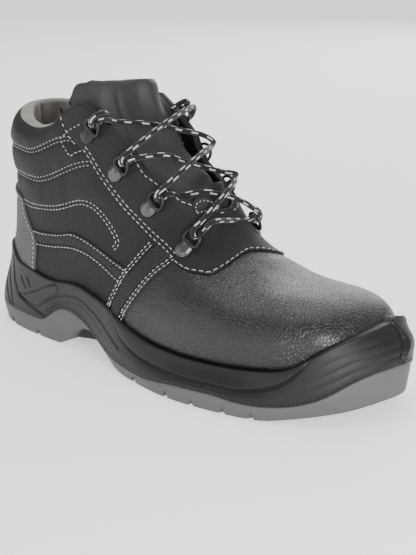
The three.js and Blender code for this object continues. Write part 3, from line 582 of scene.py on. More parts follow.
def handWork(points):
    def field(key, stretch, shift):
        swing, size = unevenness[key]
        return softNoise(points * stretch, size, shift) * swing

    x, y, z = points.T
    px, pz = patternPlace(points)
    # the shaft's padding puckers toward its seams
    shaft = smoothStep(pz, 74, 90) * smoothStep(facingX(pz) - px, 2, 14)
    uneven = field("wide", 1, 0) + field("fine", 1, 5.3) + field("pucker", [1, 1, 0.25], 2.1) * shaft
    # a shallow dip behind the safety cap, where the vamp starts to bend
    depth, width = unevenness["dip"]
    dip = depth * bell(x - 168 - 0.004 * y * y, width) * smoothStep(z, 55, 66)
    # the padded collar leans in towards its edge, most at the back
    lean = (collar["lean"] + collar["leanBack"] * smoothStep(-x, 10, 34)) * smoothStep(pz, 119, 134)
    return uneven + dip - lean * behindFacing(px, pz)


# A table of the last, to find where a point or a line of sight meets it
tablePlaces = np.concatenate([np.arange(0, lastEnd, 0.05), lastEnd + np.linspace(0, 0.985, 24)])
tableTurns = np.arange(0, 1, 1 / 300)
tablePoints = lastPoints(tablePlaces[:, None], tableTurns[None, :])
tableKeys = np.stack([a.ravel() for a in np.meshgrid(tablePlaces, tableTurns, indexing="ij")], 1)


def gridFaces(rows, columns, closed=True):
    a = np.arange(rows - 1)[:, None] * columns
    c = np.arange(columns if closed else columns - 1)[None, :]
    a, b = a + c, a + (c + 1) % columns
    return np.stack([a, b, b + columns, a + columns], -1).reshape(-1, 4)


def treeOf(points):
    # a search tree of points or of flat spots
    tree = KDTree(len(points))
    for k, point in enumerate(points):
        tree.insert((*point, 0)[:3], k)
    tree.balance()
    return tree


lastTree = BVHTree.FromPolygons(tablePoints.tolist(), gridFaces(len(tablePlaces), len(tableTurns)).tolist())
placeTree = treeOf(tablePoints)


def placesOf(points):
    # nearest place and turn on the last, refined by a few Newton steps
    points = np.atleast_2d(points)
    place, turn = tableKeys[[placeTree.find(p)[1] for p in points]].T
    for _ in range(5):
        placeStep, turnStep = skinSteps(place, turn, points - lastPoints(place, turn))
        place = np.clip(place + np.clip(placeStep, -0.1, 0.1), 0, lastEnd + 0.985)
        turn = turn + np.clip(turnStep, -0.01, 0.01)
    return place, turn % 1


def castOn(origins, way):
    hits = []
    for origin in origins:
        hit = lastTree.ray_cast(Vector(origin), Vector(way))[0]
        hits.append(hit if hit is not None else lastTree.find_nearest(Vector(origin) + Vector(way) * 160)[0])
    return np.array(hits)


def fromSide(side, line):
    x, z = np.asarray(line, float).T
    if side > 0:
        forward, drop = innerShift(x, z)
        x, z = x + forward, z - drop
    return castOn(np.stack([x, np.full(len(x), side * 160.0), z], 1), (0, -side, 0))


def fromAbove(line):
    return castOn(np.pad(np.asarray(line, float), ((0, 0), (0, 1)), constant_values=250.0), (0, 0, -1))


def lengthAlong(points):
    return np.concatenate([[0], np.cumsum(np.linalg.norm(np.diff(points, axis=0), axis=1))])


def curveThrough(points, spacing, closed=False):
    # Catmull-Rom line through the points, with even steps
    points = np.asarray(points, float)
    if closed:
        points = np.vstack([points[-1:], points, points[:2]])
    first, end = (1, len(points) - 2) if closed else (0, len(points) - 1)
    dense = throughRows(points, np.linspace(first, end, 40 * len(points)))
    length = lengthAlong(dense)
    count = max(2, int(round(length[-1] / spacing)) + 1)
    line = rowsAt(np.linspace(0, length[-1], count), length, dense)
    return line[:-1] if closed else line


collarLine = curveThrough(collarLine, 2.0)
print("last ready")


# Nearly true-to-size map of the last's skin, in which the pattern pieces are cut
mapPlaces = np.concatenate([np.linspace(0, lastEnd, 180), lastEnd + np.linspace(0.02, 0.985, 40)])
mapRings = lastPoints(mapPlaces[:, None], np.arange(0, 1, 0.01)[None, :]).reshape(len(mapPlaces), -1, 3)
mapGirths = np.linalg.norm(np.roll(mapRings, -1, 1) - mapRings, axis=2).sum(1)
mapDepths = np.concatenate([[0], np.cumsum(np.linalg.norm(np.diff(mapRings, axis=0), axis=2).mean(1))])


def toMap(place, turn, centre):
    off = (turn - centre + 0.5) % 1 - 0.5
    return np.stack([off * np.interp(place, mapPlaces, mapGirths), np.interp(place, mapPlaces, mapDepths)], 1)


def fromMap(spots, centre):
    place = np.interp(spots[:, 1], mapDepths, mapPlaces)
    return place, centre + spots[:, 0] / np.interp(place, mapPlaces, mapGirths)


def loopArea(loop):
    following = np.roll(loop, -1, 0)
    return 0.5 * (loop[:, 0] * following[:, 1] - following[:, 0] * loop[:, 1]).sum()


def insideOf(spots, loop):
    # which of the flat spots lie inside the loop
    inside = np.zeros(len(spots), bool)
    for p, q in zip(loop, np.roll(loop, -1, 0)):
        between = (p[1] > spots[:, 1]) != (q[1] > spots[:, 1])
        cut = (q[0] - p[0]) * (spots[:, 1] - p[1]) / (q[1] - p[1] + 1e-12) + p[0]
        inside ^= between & (spots[:, 0] < cut)
    return inside


def meshLoop(loop, fill, gap, exact):
    # triangles inside a closed loop, through those of the filling spots that keep a gap to it
    tree = treeOf(loop)
    fill = np.array([s for s in fill[insideOf(fill, loop)] if tree.find((*s, 0))[2] > gap]).reshape(-1, 2)
    out = delaunay_2d_cdt([Vector(s) for s in np.vstack([loop, fill])], [], [list(range(len(loop)))], 1, exact)
    return np.array([v[:] for v in out[0]]), [f for f in out[2] if len(f) == 3]


def evenSpots(loop, spacing):
    low, high = loop.min(0), loop.max(0)
    rowStep = spacing * 0.866
    grid = np.stack(np.meshgrid(np.arange(low[0], high[0], spacing), np.arange(low[1], high[1], rowStep)), -1)
    grid[1::2, :, 0] += spacing / 2
    return grid.reshape(-1, 2)


def cutPatch(place, turn, centre, spacing, radius, insets, rim=None):
    # outline in places and turns; rim marks the points whose edge is rounded over the radius.
    # Gives place, turn, distance from the edge in radii (past 1 in the middle) and the faces
    count = len(place)
    rim = np.ones(count, bool) if rim is None else rim
    radius = np.broadcast_to(radius, count) * rim
    turn = centre + (turn - centre + 0.5) % 1 - 0.5
    points = lastPoints(place, turn)
    way = unit(np.roll(points, -1, 0) - np.roll(points, 1, 0))
    inward = np.cross(lastNormals(place, turn), way)
    tried = toMap(*shiftPlaces(place, turn, inward * 0.5), centre)
    if insideOf(tried, toMap(place, turn, centre)).mean() < 0.5:
        inward = -inward
    ends = rim & ~(np.roll(rim, 1) & np.roll(rim, -1))
    along = unit(lastSlopes(place, turn)[0][ends])
    inward[ends] = along * np.sign((along * inward[ends]).sum(1))[:, None]
    rings = [(place, turn)] + [shiftPlaces(place, turn, inward * (radius * share)[:, None]) for share in insets]
    loop = toMap(*rings[-1], centre)
    spots, triangles = meshLoop(loop, evenSpots(loop, spacing), 0.6 * spacing, 1e-7)
    # the fill may reorder its points, so the loop's own points are found again
    tree = treeOf(spots)
    loopIndex = np.array([tree.find((u, v, 0))[1] for u, v in loop])
    middle = np.full(len(spots), 2.0)
    middle[loopIndex[rim]] = 1.0
    innerPlace, innerTurn = fromMap(spots, centre)
    places = [innerPlace] + [ring[0] for ring in rings[:-1]]
    turns = [innerTurn] + [ring[1] for ring in rings[:-1]]
    distances = [middle] + [np.full(count, share) for share in (0.0, *insets[:-1])]
    ringIndex = [len(spots) + k * count + np.arange(count) for k in range(len(insets))] + [loopIndex]
    faces = [list(t) for t in triangles]
    turned = 1 if loopArea(loop) > 0 else -1
    for outer, inner in zip(ringIndex[:-1], ringIndex[1:]):
        for i, j in zip(range(count), (*range(1, count), 0)):
            if rim[i] and rim[j]:
                faces.append([outer[i], outer[j], inner[j], inner[i]][::turned])
    return np.concatenate(places), np.concatenate(turns), np.concatenate(distances), faces


def edgeRound(distance):
    return np.sqrt(np.clip(1 - (1 - np.minimum(distance, 1)) ** 2, 0, 1))


# Edge of the opening: the collar and the front of the ears, then down each side of the throat
def collarHeightFor(points):
    # how far below the edge; the inner ear is a little taller
    x, z = patternPlace(points)
    return onLine(x, collarLine) + collar["innerEar"] * smoothStep(x, 34, 52) * (points[:, 1] > 0) - z


def throatRoom(points):
    # above zero outside the throat's cut
    up = (points - throatFoot) @ upInstep
    behind = (points - throatFoot) @ outOfInstep < -last["ballWidth"] / 3
    room = np.abs(points[:, 1]) - onLine(up, throatRows)
    return np.where((up < throatRows[0, 0]) | behind, 50.0, room)


def rootBetween(measure, low, high, count):
    low, high = np.full(count, low), np.full(count, high)
    atLow = measure(low) > 0
    for _ in range(40):
        middle = (low + high) / 2
        same = (measure(middle) > 0) == atLow
        low, high = np.where(same, middle, low), np.where(same, high, middle)
    return (low + high) / 2


def turnsFrom(side, reach, count):
    # turns from the middle of the heel's back towards one side
    turns = np.linspace(0, reach, count)
    return turns if side < 0 else 1 - turns


def openingHalf(side):
    turns = turnsFrom(side, 0.46, 320)
    place = rootBetween(lambda p: collarHeightFor(lastPoints(p, turns)), 0.02, 4.2, len(turns))
    ear = throatRoom(lastPoints(place, turns)) > 0
    used = np.argmin(ear) if not ear.all() else len(ear)
    deep = np.linspace(0.3, 8.6, 700)
    away = 0.5 + 0.25 * side
    turn = rootBetween(lambda t: throatRoom(lastPoints(deep, t)), away, 0.5 + 1e-4 * side, len(deep))
    points = lastPoints(deep, turn)
    kept = (collarHeightFor(points) > 0) & (np.abs(throatRoom(points)) < 0.3)
    line = np.vstack([np.stack([place, turns], 1)[:used], np.stack([deep, turn], 1)[kept]])
    return curveThrough(np.hstack([lastPoints(*line.T)[::3], line[::3]]), 1.0)


outerHalf, innerHalf = openingHalf(-1), openingHalf(1)
print("opening:", len(outerHalf), len(innerHalf))


# Ground outline of the sole and the heights along its side wall, as in the part
soleOutline = np.array([
    [0, 0], [0.03, -0.219], [0.1, -0.32], [0.22, -0.36], [0.36, -0.366], [0.5, -0.475], [0.63, -0.536],
    [0.76, -0.505], [0.88, -0.409], [0.965, -0.21], [1, 0.068], [0.975, 0.259], [0.9, 0.42], [0.8, 0.475],
    [0.69, 0.485], [0.56, 0.42], [0.42, 0.345], [0.3, 0.33], [0.18, 0.33], [0.08, 0.3], [0.025, 0.18],
])
# x, then heights of the cup's rim, the seam between black and grey, the underside, and the rim's thickness
soleSide = np.array([
    [-51.2, 52.6, 12.7, 1.5, 4.0], [-30, 52.9, 12.7, 0.3, 3.7], [-21, 50.9, 12.6, 0, 3.3], [-11.8, 44.4, 12.6, 0, 3.2],
    [0.3, 43.7, 12.4, 0, 2.9], [12.5, 41.8, 12.3, 0, 2.9], [18.5, 41.1, 14.5, 0, 2.9], [24.6, 40.8, 20.6, 0, 2.9],
    [32.2, 41.3, 24.2, 0, 2.9], [33.7, 41.4, 24.3, 3.5, 2.9], [41.3, 43, 24, 11, 2.9], [51.9, 43.4, 20.7, 14.9, 2.9],
    [61, 42.1, 16.4, 14.5, 2.9], [70.1, 40.4, 12.6, 9.5, 2.9], [79.2, 38.6, 9.7, 5.2, 2.9], [88.3, 36.1, 8.3, 1.2, 2.9],
    [100.4, 31.8, 7.2, 0, 2.9], [112.5, 28.2, 7, 0, 3.0], [124.7, 25.8, 7, 0, 3.2], [148.9, 24.2, 9.9, 0, 3.2],
    [176.2, 24.4, 10.6, 0, 3.2], [191.4, 25, 9, 0, 3.3], [206.5, 27.2, 9.2, 0.6, 3.7], [218.6, 29.9, 10.8, 3, 4.2],
    [227.7, 36.4, 13, 4.8, 4.8], [236.8, 43.6, 17.5, 6.5, 5.3], [244.4, 47, 24.8, 8, 5.5], [252, 49.6, 29.5, 11, 5.5],
])
soleColumns = rimHeight, seamHeight, groundHeight, rimThickness = 1, 2, 3, 4
# Shank under the arch: x and height of its underside, and its two sides
shankLine = np.array([[31.3, 0.8], [40.7, 2.2], [48.9, 3], [56.4, 3.9], [65.5, 3], [76.1, 1.5], [85.2, 0.8]])
shankSides = [-26.1, 23.9]
sole = {"length": 303.2, "width": 111.0, "back": -51.2, "flare": 1.4, "step": 0.98}


def softSoleAt(column, x):
    # a column of the side's table, without its corners
    total = 0
    for shift, weight in ((-5, 0.12), (-2.5, 0.23), (0, 0.3), (2.5, 0.23), (5, 0.12)):
        total = total + weight * onLine(x + shift, soleSide[:, [0, column]])
    return total


soleLine = soleOutline * [sole["length"], sole["width"]] + [sole["back"], 0]
stationSpots = curveThrough(soleLine, sole["step"], closed=True)
stationCount = len(stationSpots)
stationWays = unit(np.roll(stationSpots, -1, 0) - np.roll(stationSpots, 1, 0))
stationOut = np.stack([stationWays[:, 1], -stationWays[:, 0]], 1)
for _ in range(6):
    stationOut = unit(np.roll(stationOut, 1, 0) + 2 * stationOut + np.roll(stationOut, -1, 0))
stationX = stationSpots[:, 0]


def reachAt(heights):
    # distance from the ground outline to the last at a height, for each station
    far = 120.0
    origins = np.column_stack([stationSpots + stationOut * far, heights])
    hits = [lastTree.ray_cast(Vector(o), Vector((-w[0], -w[1], 0)))[3] for o, w in zip(origins, stationOut)]
    reach = np.array([far - h if h is not None else np.nan for h in hits])
    good = ~np.isnan(reach)
    reach[~good] = np.interp(np.flatnonzero(~good), np.flatnonzero(good), reach[good])
    return reach


def ringOf(out, heights):
    out, heights = np.broadcast_to(out, stationCount), np.broadcast_to(heights, stationCount)
    return np.column_stack([stationSpots + stationOut * out[:, None], heights])


print("stations:", stationCount)


# Lines of the stitching and the edges of the pieces, on both sides
strapRear = [[113, 78.5], [109.5, 76.3], [102.5, 66.8], [94.3, 55.3], [88.3, 43], [85.5, 36], [83.5, 26]]
strapFront = [[92.3, 26], [94.5, 34.8], [98.9, 42.5], [105.4, 52.3], [113, 62.8], [121.4, 71.8], [126, 77]]
bandUpper = [[-12, 68.3], [3.4, 68.3], [16.5, 68.7], [31.4, 70.8], [42.5, 73.3], [54.3, 71.9], [67.5, 68.4], [81.7, 64],
             [96, 60.6]]
bandLower = [[-12, 61], [7.5, 61.1], [22, 62.3], [41, 65.1], [54.7, 64.7], [68.8, 61.4], [84.3, 56], [93, 54.2]]
counterFront = [[-24, 88.7], [-12, 85.2], [-6, 76.5], [0, 70], [5.9, 65.2], [8, 55.2], [7.1, 46], [6.7, 34]]
windowLine = [[-33, 83.6], [-9, 83.5], [5.5, 83.4], [25.8, 86.5], [44.2, 92.5], [52.7, 94], [61, 92.4], [69.5, 87.8],
              [79, 79.5], [82.6, 73.5], [79.5, 68.8]]


def beside(place, turn, distance):
    # a line beside another, at a distance kept on the leather itself
    points = lastPoints(place, turn)
    way = unit(np.gradient(points, axis=0))
    return shiftPlaces(place, turn, np.cross(lastNormals(place, turn), way) * distance)


def levelLine(side, height, forward):
    # a line round the heel at a height that may change with x, as far forward as asked
    turns = turnsFrom(side, 0.4, 400)

    def miss(p):
        x, z = patternPlace(lastPoints(p, turns))
        return z - height(x)

    points = lastPoints(rootBetween(miss, 0.02, 4.9, len(turns)), turns)
    x, z = patternPlace(points)
    near = x < forward(z)
    cut = len(near) if near.all() else np.argmin(near)
    return curveThrough(points[:cut:4], lineStep)


def onSide(side, line, closed=False):
    return curveThrough(fromSide(side, line), lineStep, closed)


# Each row of stitches: its places and turns, height, length of a stitch and of the pause after it
stitchLines = []
lineStep = 1.2


def sewAt(place, turn, layer, gaps, stitch=2.7, pause=1.2):
    for gap in gaps:
        stitchLines.append((*beside(place, turn, gap), layers[layer], stitch, pause))


# How far the face of each overlay stands out from the last; pressed rows draw the leather in
layers = {
    "pressed": -0.25,
    "flat": 0.0,
    "band": 1.0,
    "strap": 1.3,
    "counter": 1.5,
    "facing": 1.65,
    "patch": 2.3,
    "tabLow": 0.8,
    "tab": 1.2,
    "tabHigh": 1.5,
}
# Distances of the rows of stitches from the line that they follow
rowGaps = {
    "roll": (-1.6, 0.9),
    "window": (0.0, 2.4),
    "strap": (1.5, 3.7),
    "bandUpper": (1.5,),
    "bandLower": (-1.5,),
    "counter": (1.8,),
    "facing": (1.5, 4.0),
    "front": (1.0,),
    "throat": (2.6,),
}
windowLevel, counterLevel = 83.6, 88.9
# Small tab under the ear: line, layer, stitch and pause
earTab = [
    ([[33, 143], [36, 136.5], [41, 130.5], [46, 126.5]], "tab", 2.6, 1.2),
    ([[38, 133], [45, 137], [50, 139.5]], "tabHigh", 2.2, 1.2),
    ([[37.5, 132.2], [34.2, 129.5], [34.5, 127], [40.9, 121.2], [43.2, 120.1], [46.3, 122], [50.4, 123.8]],
     "tabLow", 1.8, 1.1),
]
facingEdge = curveThrough(np.vstack([
    fromSide(-1, facingRear[:-1]),
    fromAbove([[144.5, -33.2], *facingFront, *[[x, -y] for x, y in facingFront[-2::-1]], [144.5, 33.2]]),
    fromSide(1, facingRear[:-1])[::-1],
]), lineStep)
edgePlace, edgeTurn = placesOf(facingEdge)


def firstWhere(wanted):
    return int(np.argmax(wanted))


def lastWhere(wanted):
    return len(wanted) - int(np.argmax(wanted[::-1]))


# double rows down both sides of the facing, a single row across the vamp
rearStart, rearEnd = firstWhere(facingEdge[:, 2] < 124.5), firstWhere(facingEdge[:, 0] > 126)
frontEnd, innerEnd = lastWhere(facingEdge[:, 0] > 126), lastWhere(facingEdge[:, 2] < 121)
for first, end, row, stitch in ((rearStart, rearEnd, "facing", 2.7), (rearEnd, frontEnd, "front", 3.2),
                                (frontEnd, innerEnd, "facing", 2.7)):
    sewAt(edgePlace[first:end], edgeTurn[first:end], "facing", rowGaps[row], stitch)

counterLines, strapLoops, bandLoops = {}, {}, {}


def sewSide(side, opening):
    def sew(points, layer, row, stitch=2.1, pause=1.0):
        sewAt(*placesOf(points), layer, [side * gap for gap in rowGaps[row]] if row else (0.0,), stitch, pause)

    for back, front, low, high in rollSeams[:2]:
        seam = levelLine(side, lambda x: back + (front - back) * smoothStep(x, low, high), lambda z: facingX(z) - 1)
        sew(seam, "pressed", "roll")
    shelf = levelLine(side, lambda x: windowLevel, lambda z: 5)
    window = np.vstack([shelf[::6], fromSide(side, windowLine[3:])])
    sew(curveThrough(window, lineStep), "flat", "window")
    sew(onSide(side, strapRear)[4:], "strap", "strap")
    sew(onSide(side, strapFront)[:-4], "strap", "strap")
    # the band's stitches start where it comes out from under the counter
    high, low = onSide(side, bandUpper), onSide(side, bandLower)
    sew(high[high[:, 0] > 3.4], "band", "bandUpper")
    sew(low[low[:, 0] > 7.6][::-1], "band", "bandLower")
    top = levelLine(side, lambda x: counterLevel, lambda z: -27)
    counterLines[side] = curveThrough(np.vstack([top[::5], fromSide(side, counterFront[1:])]), lineStep)
    sew(counterLines[side], "counter", "counter")
    strapLoops[side] = onSide(side, strapRear + strapFront, True)
    bandLoops[side] = onSide(side, bandUpper + bandLower[::-1], True)
    ahead = opening[opening[:, 0] > 86]
    sewAt(ahead[:, 3], ahead[:, 4], "facing", [side * gap for gap in rowGaps["throat"]])
    for line, layer, stitch, pause in earTab:
        sew(onSide(side, line), layer, None, stitch, pause)


sewSide(-1, outerHalf)
sewSide(1, innerHalf)
seamPoints = np.vstack([lastPoints(line[0], line[1]) for line in stitchLines])
seamTree = treeOf(seamPoints)


def leather(place, turn, lift):
    # points of the worked leather, and the painted shade that darkens the colour near each seam
    base = lastPoints(place, turn)
    near = np.array([seamTree.find(p)[2] for p in base])
    height = rollHeight(base) + handWork(base) * smoothStep(base[:, 2], 30, 44) + lift - 0.3 * bell(near, 1.0)
    return base + lastNormals(place, turn) * height[:, None], 0.55 * bell(near, 0.9)


print("stitch lines:", len(stitchLines), "points:", len(seamPoints))


# Upper: outer leather, rounded lip and lining, in one piece
lowest = onLine(stationX, [[-60, 26], [-4, 26], [45, 23], [95, 20], [138, 18], [172, 19], [203, 21], [260, 23]])


def upperLoop(heights, inner):
    # the opening, then the seam down the back, the hem and the seam again; rim marks the opening
    hemPlace, hemTurn = placesOf(curveThrough(ringOf(reachAt(heights), heights)[::4], 2.0, closed=True))
    first = np.argmin(np.abs((hemTurn + 0.5) % 1 - 0.5))
    hemPlace, hemTurn = np.roll(hemPlace, -first), np.roll(hemTurn, -first)
    if hemTurn[3] > 0.5:
        hemPlace, hemTurn = hemPlace[::-1], hemTurn[::-1]
    edge = 1 - 1e-7
    top = outerHalf[0, 3]
    down = np.linspace(top, hemPlace[0], inner + 2)[1:-1]
    opening = np.vstack([outerHalf[:, 3:], innerHalf[::-1, 3:]])
    opening[0], opening[-1] = (top, 0), (top, edge)
    hem = np.stack([hemPlace, hemTurn], 1)[1:-1]
    hem = hem[(hem[:, 1] > 0.004) & (hem[:, 1] < 0.996)]
    loop = np.vstack([
        opening, np.column_stack([down, np.full(inner, edge)]), [[hemPlace[0], edge]],
        hem[::-1], [[hemPlace[0], 0]], np.column_stack([down[::-1], np.zeros(inner)]),
    ])
    return *loop.T, np.arange(len(loop)) < len(opening)


# Rings that round the lip, as shares of its radius; spacing of the points and of the seams' ends; how far the
# leather goes down behind the cup's rim; where the lining's seam runs down the back
lipShares = (0.04, 0.1, 0.18, 0.28, 0.4, 0.54, 0.7, 0.85, 1.0)
upper = {"spacing": 1.25, "seamCount": 60, "liningSpacing": 2.2, "liningSeamCount": 30, "hemDepth": 7, "seamY": -2.7}


def liningOver(place, turn, distance, faces, skin):
    # round the collar the lining comes over the lip, furthest at the back and the inner side
    base = lastPoints(place, turn)
    x, z = patternPlace(base)
    atCollar = (behindFacing(x, z) > 0) & (z > 118)
    normal = lastNormals(place, turn)
    upward, outward = normal + [0, 0, 0.6], unit(normal * [1, 1, 0])
    limit = 0.04 + 0.36 * smoothStep(base[:, 1] - base[:, 0] - 8, 0, 18)
    over = []
    for f in faces:
        lined = all(atCollar[i] for i in f) and min(distance[i] for i in f) < 1.6
        if lined and max(distance[i] for i in f) >= 0.2:
            way = np.cross(skin[f[1]] - skin[f[0]], skin[f[2]] - skin[f[0]])
            way = way * np.sign(way @ upward[f[0]]) / (np.linalg.norm(way) + 1e-12)
            lined = way @ outward[f[0]] < limit[f[0]]
        over.append(lined)
    return over


def makeUpper():
    soft, vamp, lining = 0, 1, 2
    hem = np.maximum(softSoleAt(rimHeight, stationX) - upper["hemDepth"], lowest + 2.4)
    place, turn, rim = upperLoop(hem, upper["seamCount"])
    place, turn, distance, faces = cutPatch(place, turn, 0.5, upper["spacing"], lipAt(lastPoints(place, turn)),
                                            lipShares, rim)
    base = lastPoints(place, turn)
    skin, seam = leather(place, turn, -lipAt(base) * (1 - edgeRound(distance)))
    # in front of the straps the leather is grained
    x, z = patternPlace(base)
    strapX = np.where(z > 75, 118, onLine(z, np.array(strapFront)[:, ::-1] - [0, 4]))
    grained = x > strapX
    over = liningOver(place, turn, distance, faces, skin)
    kinds = [vamp if all(grained[i] for i in f) else lining if lined else soft for f, lined in zip(faces, over)]
    inPlace, inTurn, inRim = upperLoop(lowest + 8.5, upper["liningSeamCount"])
    inPlace, inTurn, inDistance, inFaces = cutPatch(inPlace, inTurn, 0.5, upper["liningSpacing"],
                                                    lipAt(lastPoints(inPlace, inTurn)), lipShares, inRim)
    base = lastPoints(inPlace, inTurn)
    radius = lipAt(base)
    near = bell(inDistance, 0.5)
    folds = softNoise(base * [1, 1, 0.35], 9, 3.7) * 0.7 + softNoise(base, 30, 1.2) * 0.5
    # the lining is drawn in at its seam down the back, and full on both sides of it
    aside = base[:, 1] - upper["seamY"]
    back = smoothStep(-base[:, 0], 14, 26) * (1 - near)
    folds = folds + back * (2.2 * bell(aside, 1.3) - 1.3 * bell(np.abs(aside) - 7, 4))
    depth = -radius - radius * edgeRound(inDistance) + near * handWork(base) + (1 - near) * folds
    inside = base + lastNormals(inPlace, inTurn) * depth[:, None]
    # beside the tongue the inside is closed by black leather
    x, z = patternPlace(base)
    black = (x > 62 + (150 - z) * 0.3) & (z + 0.79 * x > 162) & (z > 60)
    black |= (behindFacing(x, z) <= 0) & (inDistance < 0.5)
    kinds += [soft if black[f[0]] else lining for f in inFaces]
    faces += flipped(inFaces, len(skin))
    piece = meshPiece("boot_upper", np.vstack([skin, inside]), faces, ["soft", "vamp", "lining"],
                      {"seam": np.concatenate([seam, np.zeros(len(base))])}, kinds)
    settle(joined(piece), "smooth_leather", "upper")


makeUpper()
print("upper made")


def overlay(name, finish, slotName, node, place, turn, centre, lift):
    place, turn, distance, faces = cutPatch(place, turn, centre, 1.3, 0.9, (0.1, 0.4, 1.0))
    height = np.where(distance == 0, -0.5, lift * edgeRound(distance))
    points, seam = leather(place, turn, height)
    # painted shade: the colour is darkened along the overlay's rim, as shade at its edge
    seam = np.maximum(seam, 0.8 * (distance < 0.3))
    settle(joined(meshPiece(name, points, faces, [finish], {"seam": seam})), slotName, *node)


def makeOverlays():
    inset = 0.45
    ears = []
    for half, end, side in ((outerHalf, 0, -1), (innerHalf, -1, 1)):
        ear = half[firstWhere(half[:, 0] >= facingEdge[end, 0]):]
        ears.append(np.stack(beside(ear[:, 3], ear[:, 4], inset * side), 1)[::-side])
    loop = np.vstack([*ears, np.stack([edgePlace, edgeTurn], 1)[::-1]])
    overlay("facing_leather", "facing", "smooth_leather", ["facing"], *loop.T, 0.5, layers["facing"])
    for side, name in ((-1, "outer"), (1, "inner")):
        for kind, slotName, loops, layer in (("strap", "strap_leather", strapLoops, "strap"),
                                             ("side_band", "grain_leather", bandLoops, "band")):
            overlay(f"{kind}_leather_{name}", "strap", slotName, [f"{kind}_{name}"], *placesOf(loops[side]),
                    0.5 + 0.25 * side, layers[layer])
    foot = [-12, 34]
    under = [castOn([(-160, y, foot[1])], (1, 0, 0))[0] for y in (-14, 0, 14)]
    below = [counterLines[-1][-1], *fromSide(-1, [foot]), *under, *fromSide(1, [foot]), counterLines[1][-1]]
    loop = np.vstack([counterLines[-1], curveThrough(below, 1.5)[1:-1], counterLines[1][::-1]])
    overlay("heel_counter_leather", "counter", "grain_leather", ["heel_counter"], *placesOf(loop), 0.0,
            layers["counter"])


makeOverlays()


# Half-moon patch that closes the foot of the throat
def makeThroatPatch():
    middle, across = np.array([130.0, -12.3, 97.0]), np.array([0.25, 0.96, 0.0])
    width, height, foot = 8.2, 9.0, 3.4
    seamWidth, seamHeight, seamDrop = 6.2, 6.6, 0.6
    angles = np.linspace(0, np.pi, 26)[:, None]
    arc = middle + across * width * np.cos(angles) + upInstep * height * np.sin(angles)
    low = middle + across * np.linspace(-width, width, 12)[1:-1, None] - upInstep * foot
    place, turn = placesOf(curveThrough(np.vstack([arc, low]), 1.0, closed=True))
    overlay("throat_patch", "soft", "smooth_leather", [], place, turn, 0.5, layers["patch"])
    ring = middle + across * seamWidth * np.cos(angles) + upInstep * (seamHeight * np.sin(angles) - seamDrop)
    stitchLines.append((*placesOf(curveThrough(np.vstack([ring, ring[:1]]), 0.8)), layers["patch"], 1.3, 0.8))


makeThroatPatch()
print("overlays made")


def makeStitches():
    # each stitch is a short arched thread whose ends go down into the leather; rows: along, width, rise
    half = [[0.35, 1.0, 0.22], [0.82, 0.8, -0.1], [1.0, 0.35, -0.5]]
    alongs, widths, rises = np.array([[-a, b, c] for a, b, c in half[::-1]] + half).T
    thickness, arch, raised, skew, sides = 0.31, 0.7, 0.16, 0.07, 6
    angles = np.arange(sides)[:, None] / sides * 2 * np.pi
    size = len(alongs) * sides
    points, faces, start = [], [], 0
    random = np.random.RandomState(3)
    for place, turn, lift, stitch, gap in stitchLines:
        base, _ = leather(place, turn, lift)
        normals = lastNormals(place, turn)
        length = lengthAlong(base)
        count = int(length[-1] / (stitch + gap))
        if count < 1:
            continue
        middles = (np.arange(count) + 0.5) * length[-1] / count
        centre, normal = rowsAt(middles, length, base), unit(rowsAt(middles, length, normals))
        reach = 0.4 * stitch
        way = unit(rowsAt(middles + reach, length, base) - rowsAt(middles - reach, length, base))
        across = unit(np.cross(normal, way))
        way = unit(way + across * random.uniform(-skew, skew, count)[:, None])
        half = stitch / 2 * random.uniform(0.88, 1.06, count)
        thick = thickness * random.uniform(0.9, 1.1, count)
        ring = np.cos(angles) * across[:, None, None] + np.sin(angles) * normal[:, None, None]
        spot = centre[:, None, None] + way[:, None, None] * (half[:, None] * alongs)[:, :, None, None]
        spot = spot + ring * (thick[:, None] * widths)[:, :, None, None]
        spot = spot + normal[:, None, None] * (rises * arch + raised)[None, :, None, None]
        points.append(spot.reshape(-1, 3))
        block = gridFaces(len(alongs), sides)
        faces.append((block[None] + (start + np.arange(count) * size)[:, None, None]).reshape(-1, 4))
        start += count * size
    settle(meshPiece("stitching", np.vstack(points), np.vstack(faces), ["thread"]), None)


makeStitches()
print("stitches made")


# Tongue: a soft pad under the throat, on a last that is drawn in at the front
tongueLine = [[135.6, 80.7], [118.8, 84], [93.6, 100], [65.6, 121], [31.4, 145], [32.2, 154.6], [36.2, 160.2],
              [43, 162.1]]
tongueFar = tongueLine[:4] + [[31.6, 143], [33.5, 149], [38, 153], [45.5, 155.5]]
tongue = {"top": 164.4, "foot": tongueLine[0][0], "halfThickness": 4, "edge": 6.5, "depth": 5.2, "swell": 5.2}


def tonguePlaces(side, line):
    # places on the tongue's last whose x and z are those of the line
    place, turn = placesOf(fromSide(-1, line))
    if side > 0:
        turn = 1 - turn
    for _ in range(40):
        along, around = lastSlopes(place, turn, tongueSections)
        now = lastPoints(place, turn, tongueSections)
        mx, mz = line[:, 0] - now[:, 0], line[:, 1] - now[:, 2]
        det = along[:, 0] * around[:, 2] - along[:, 2] * around[:, 0]
        det = np.where(np.abs(det) < 20, np.sign(det) * 20, det)
        place = place + np.clip((mx * around[:, 2] - mz * around[:, 0]) / det, -0.15, 0.15)
        turn = turn + np.clip((along[:, 0] * mz - along[:, 2] * mx) / det, -0.01, 0.01)
        place = np.clip(place, 0.01, lastEnd)
    return place, turn


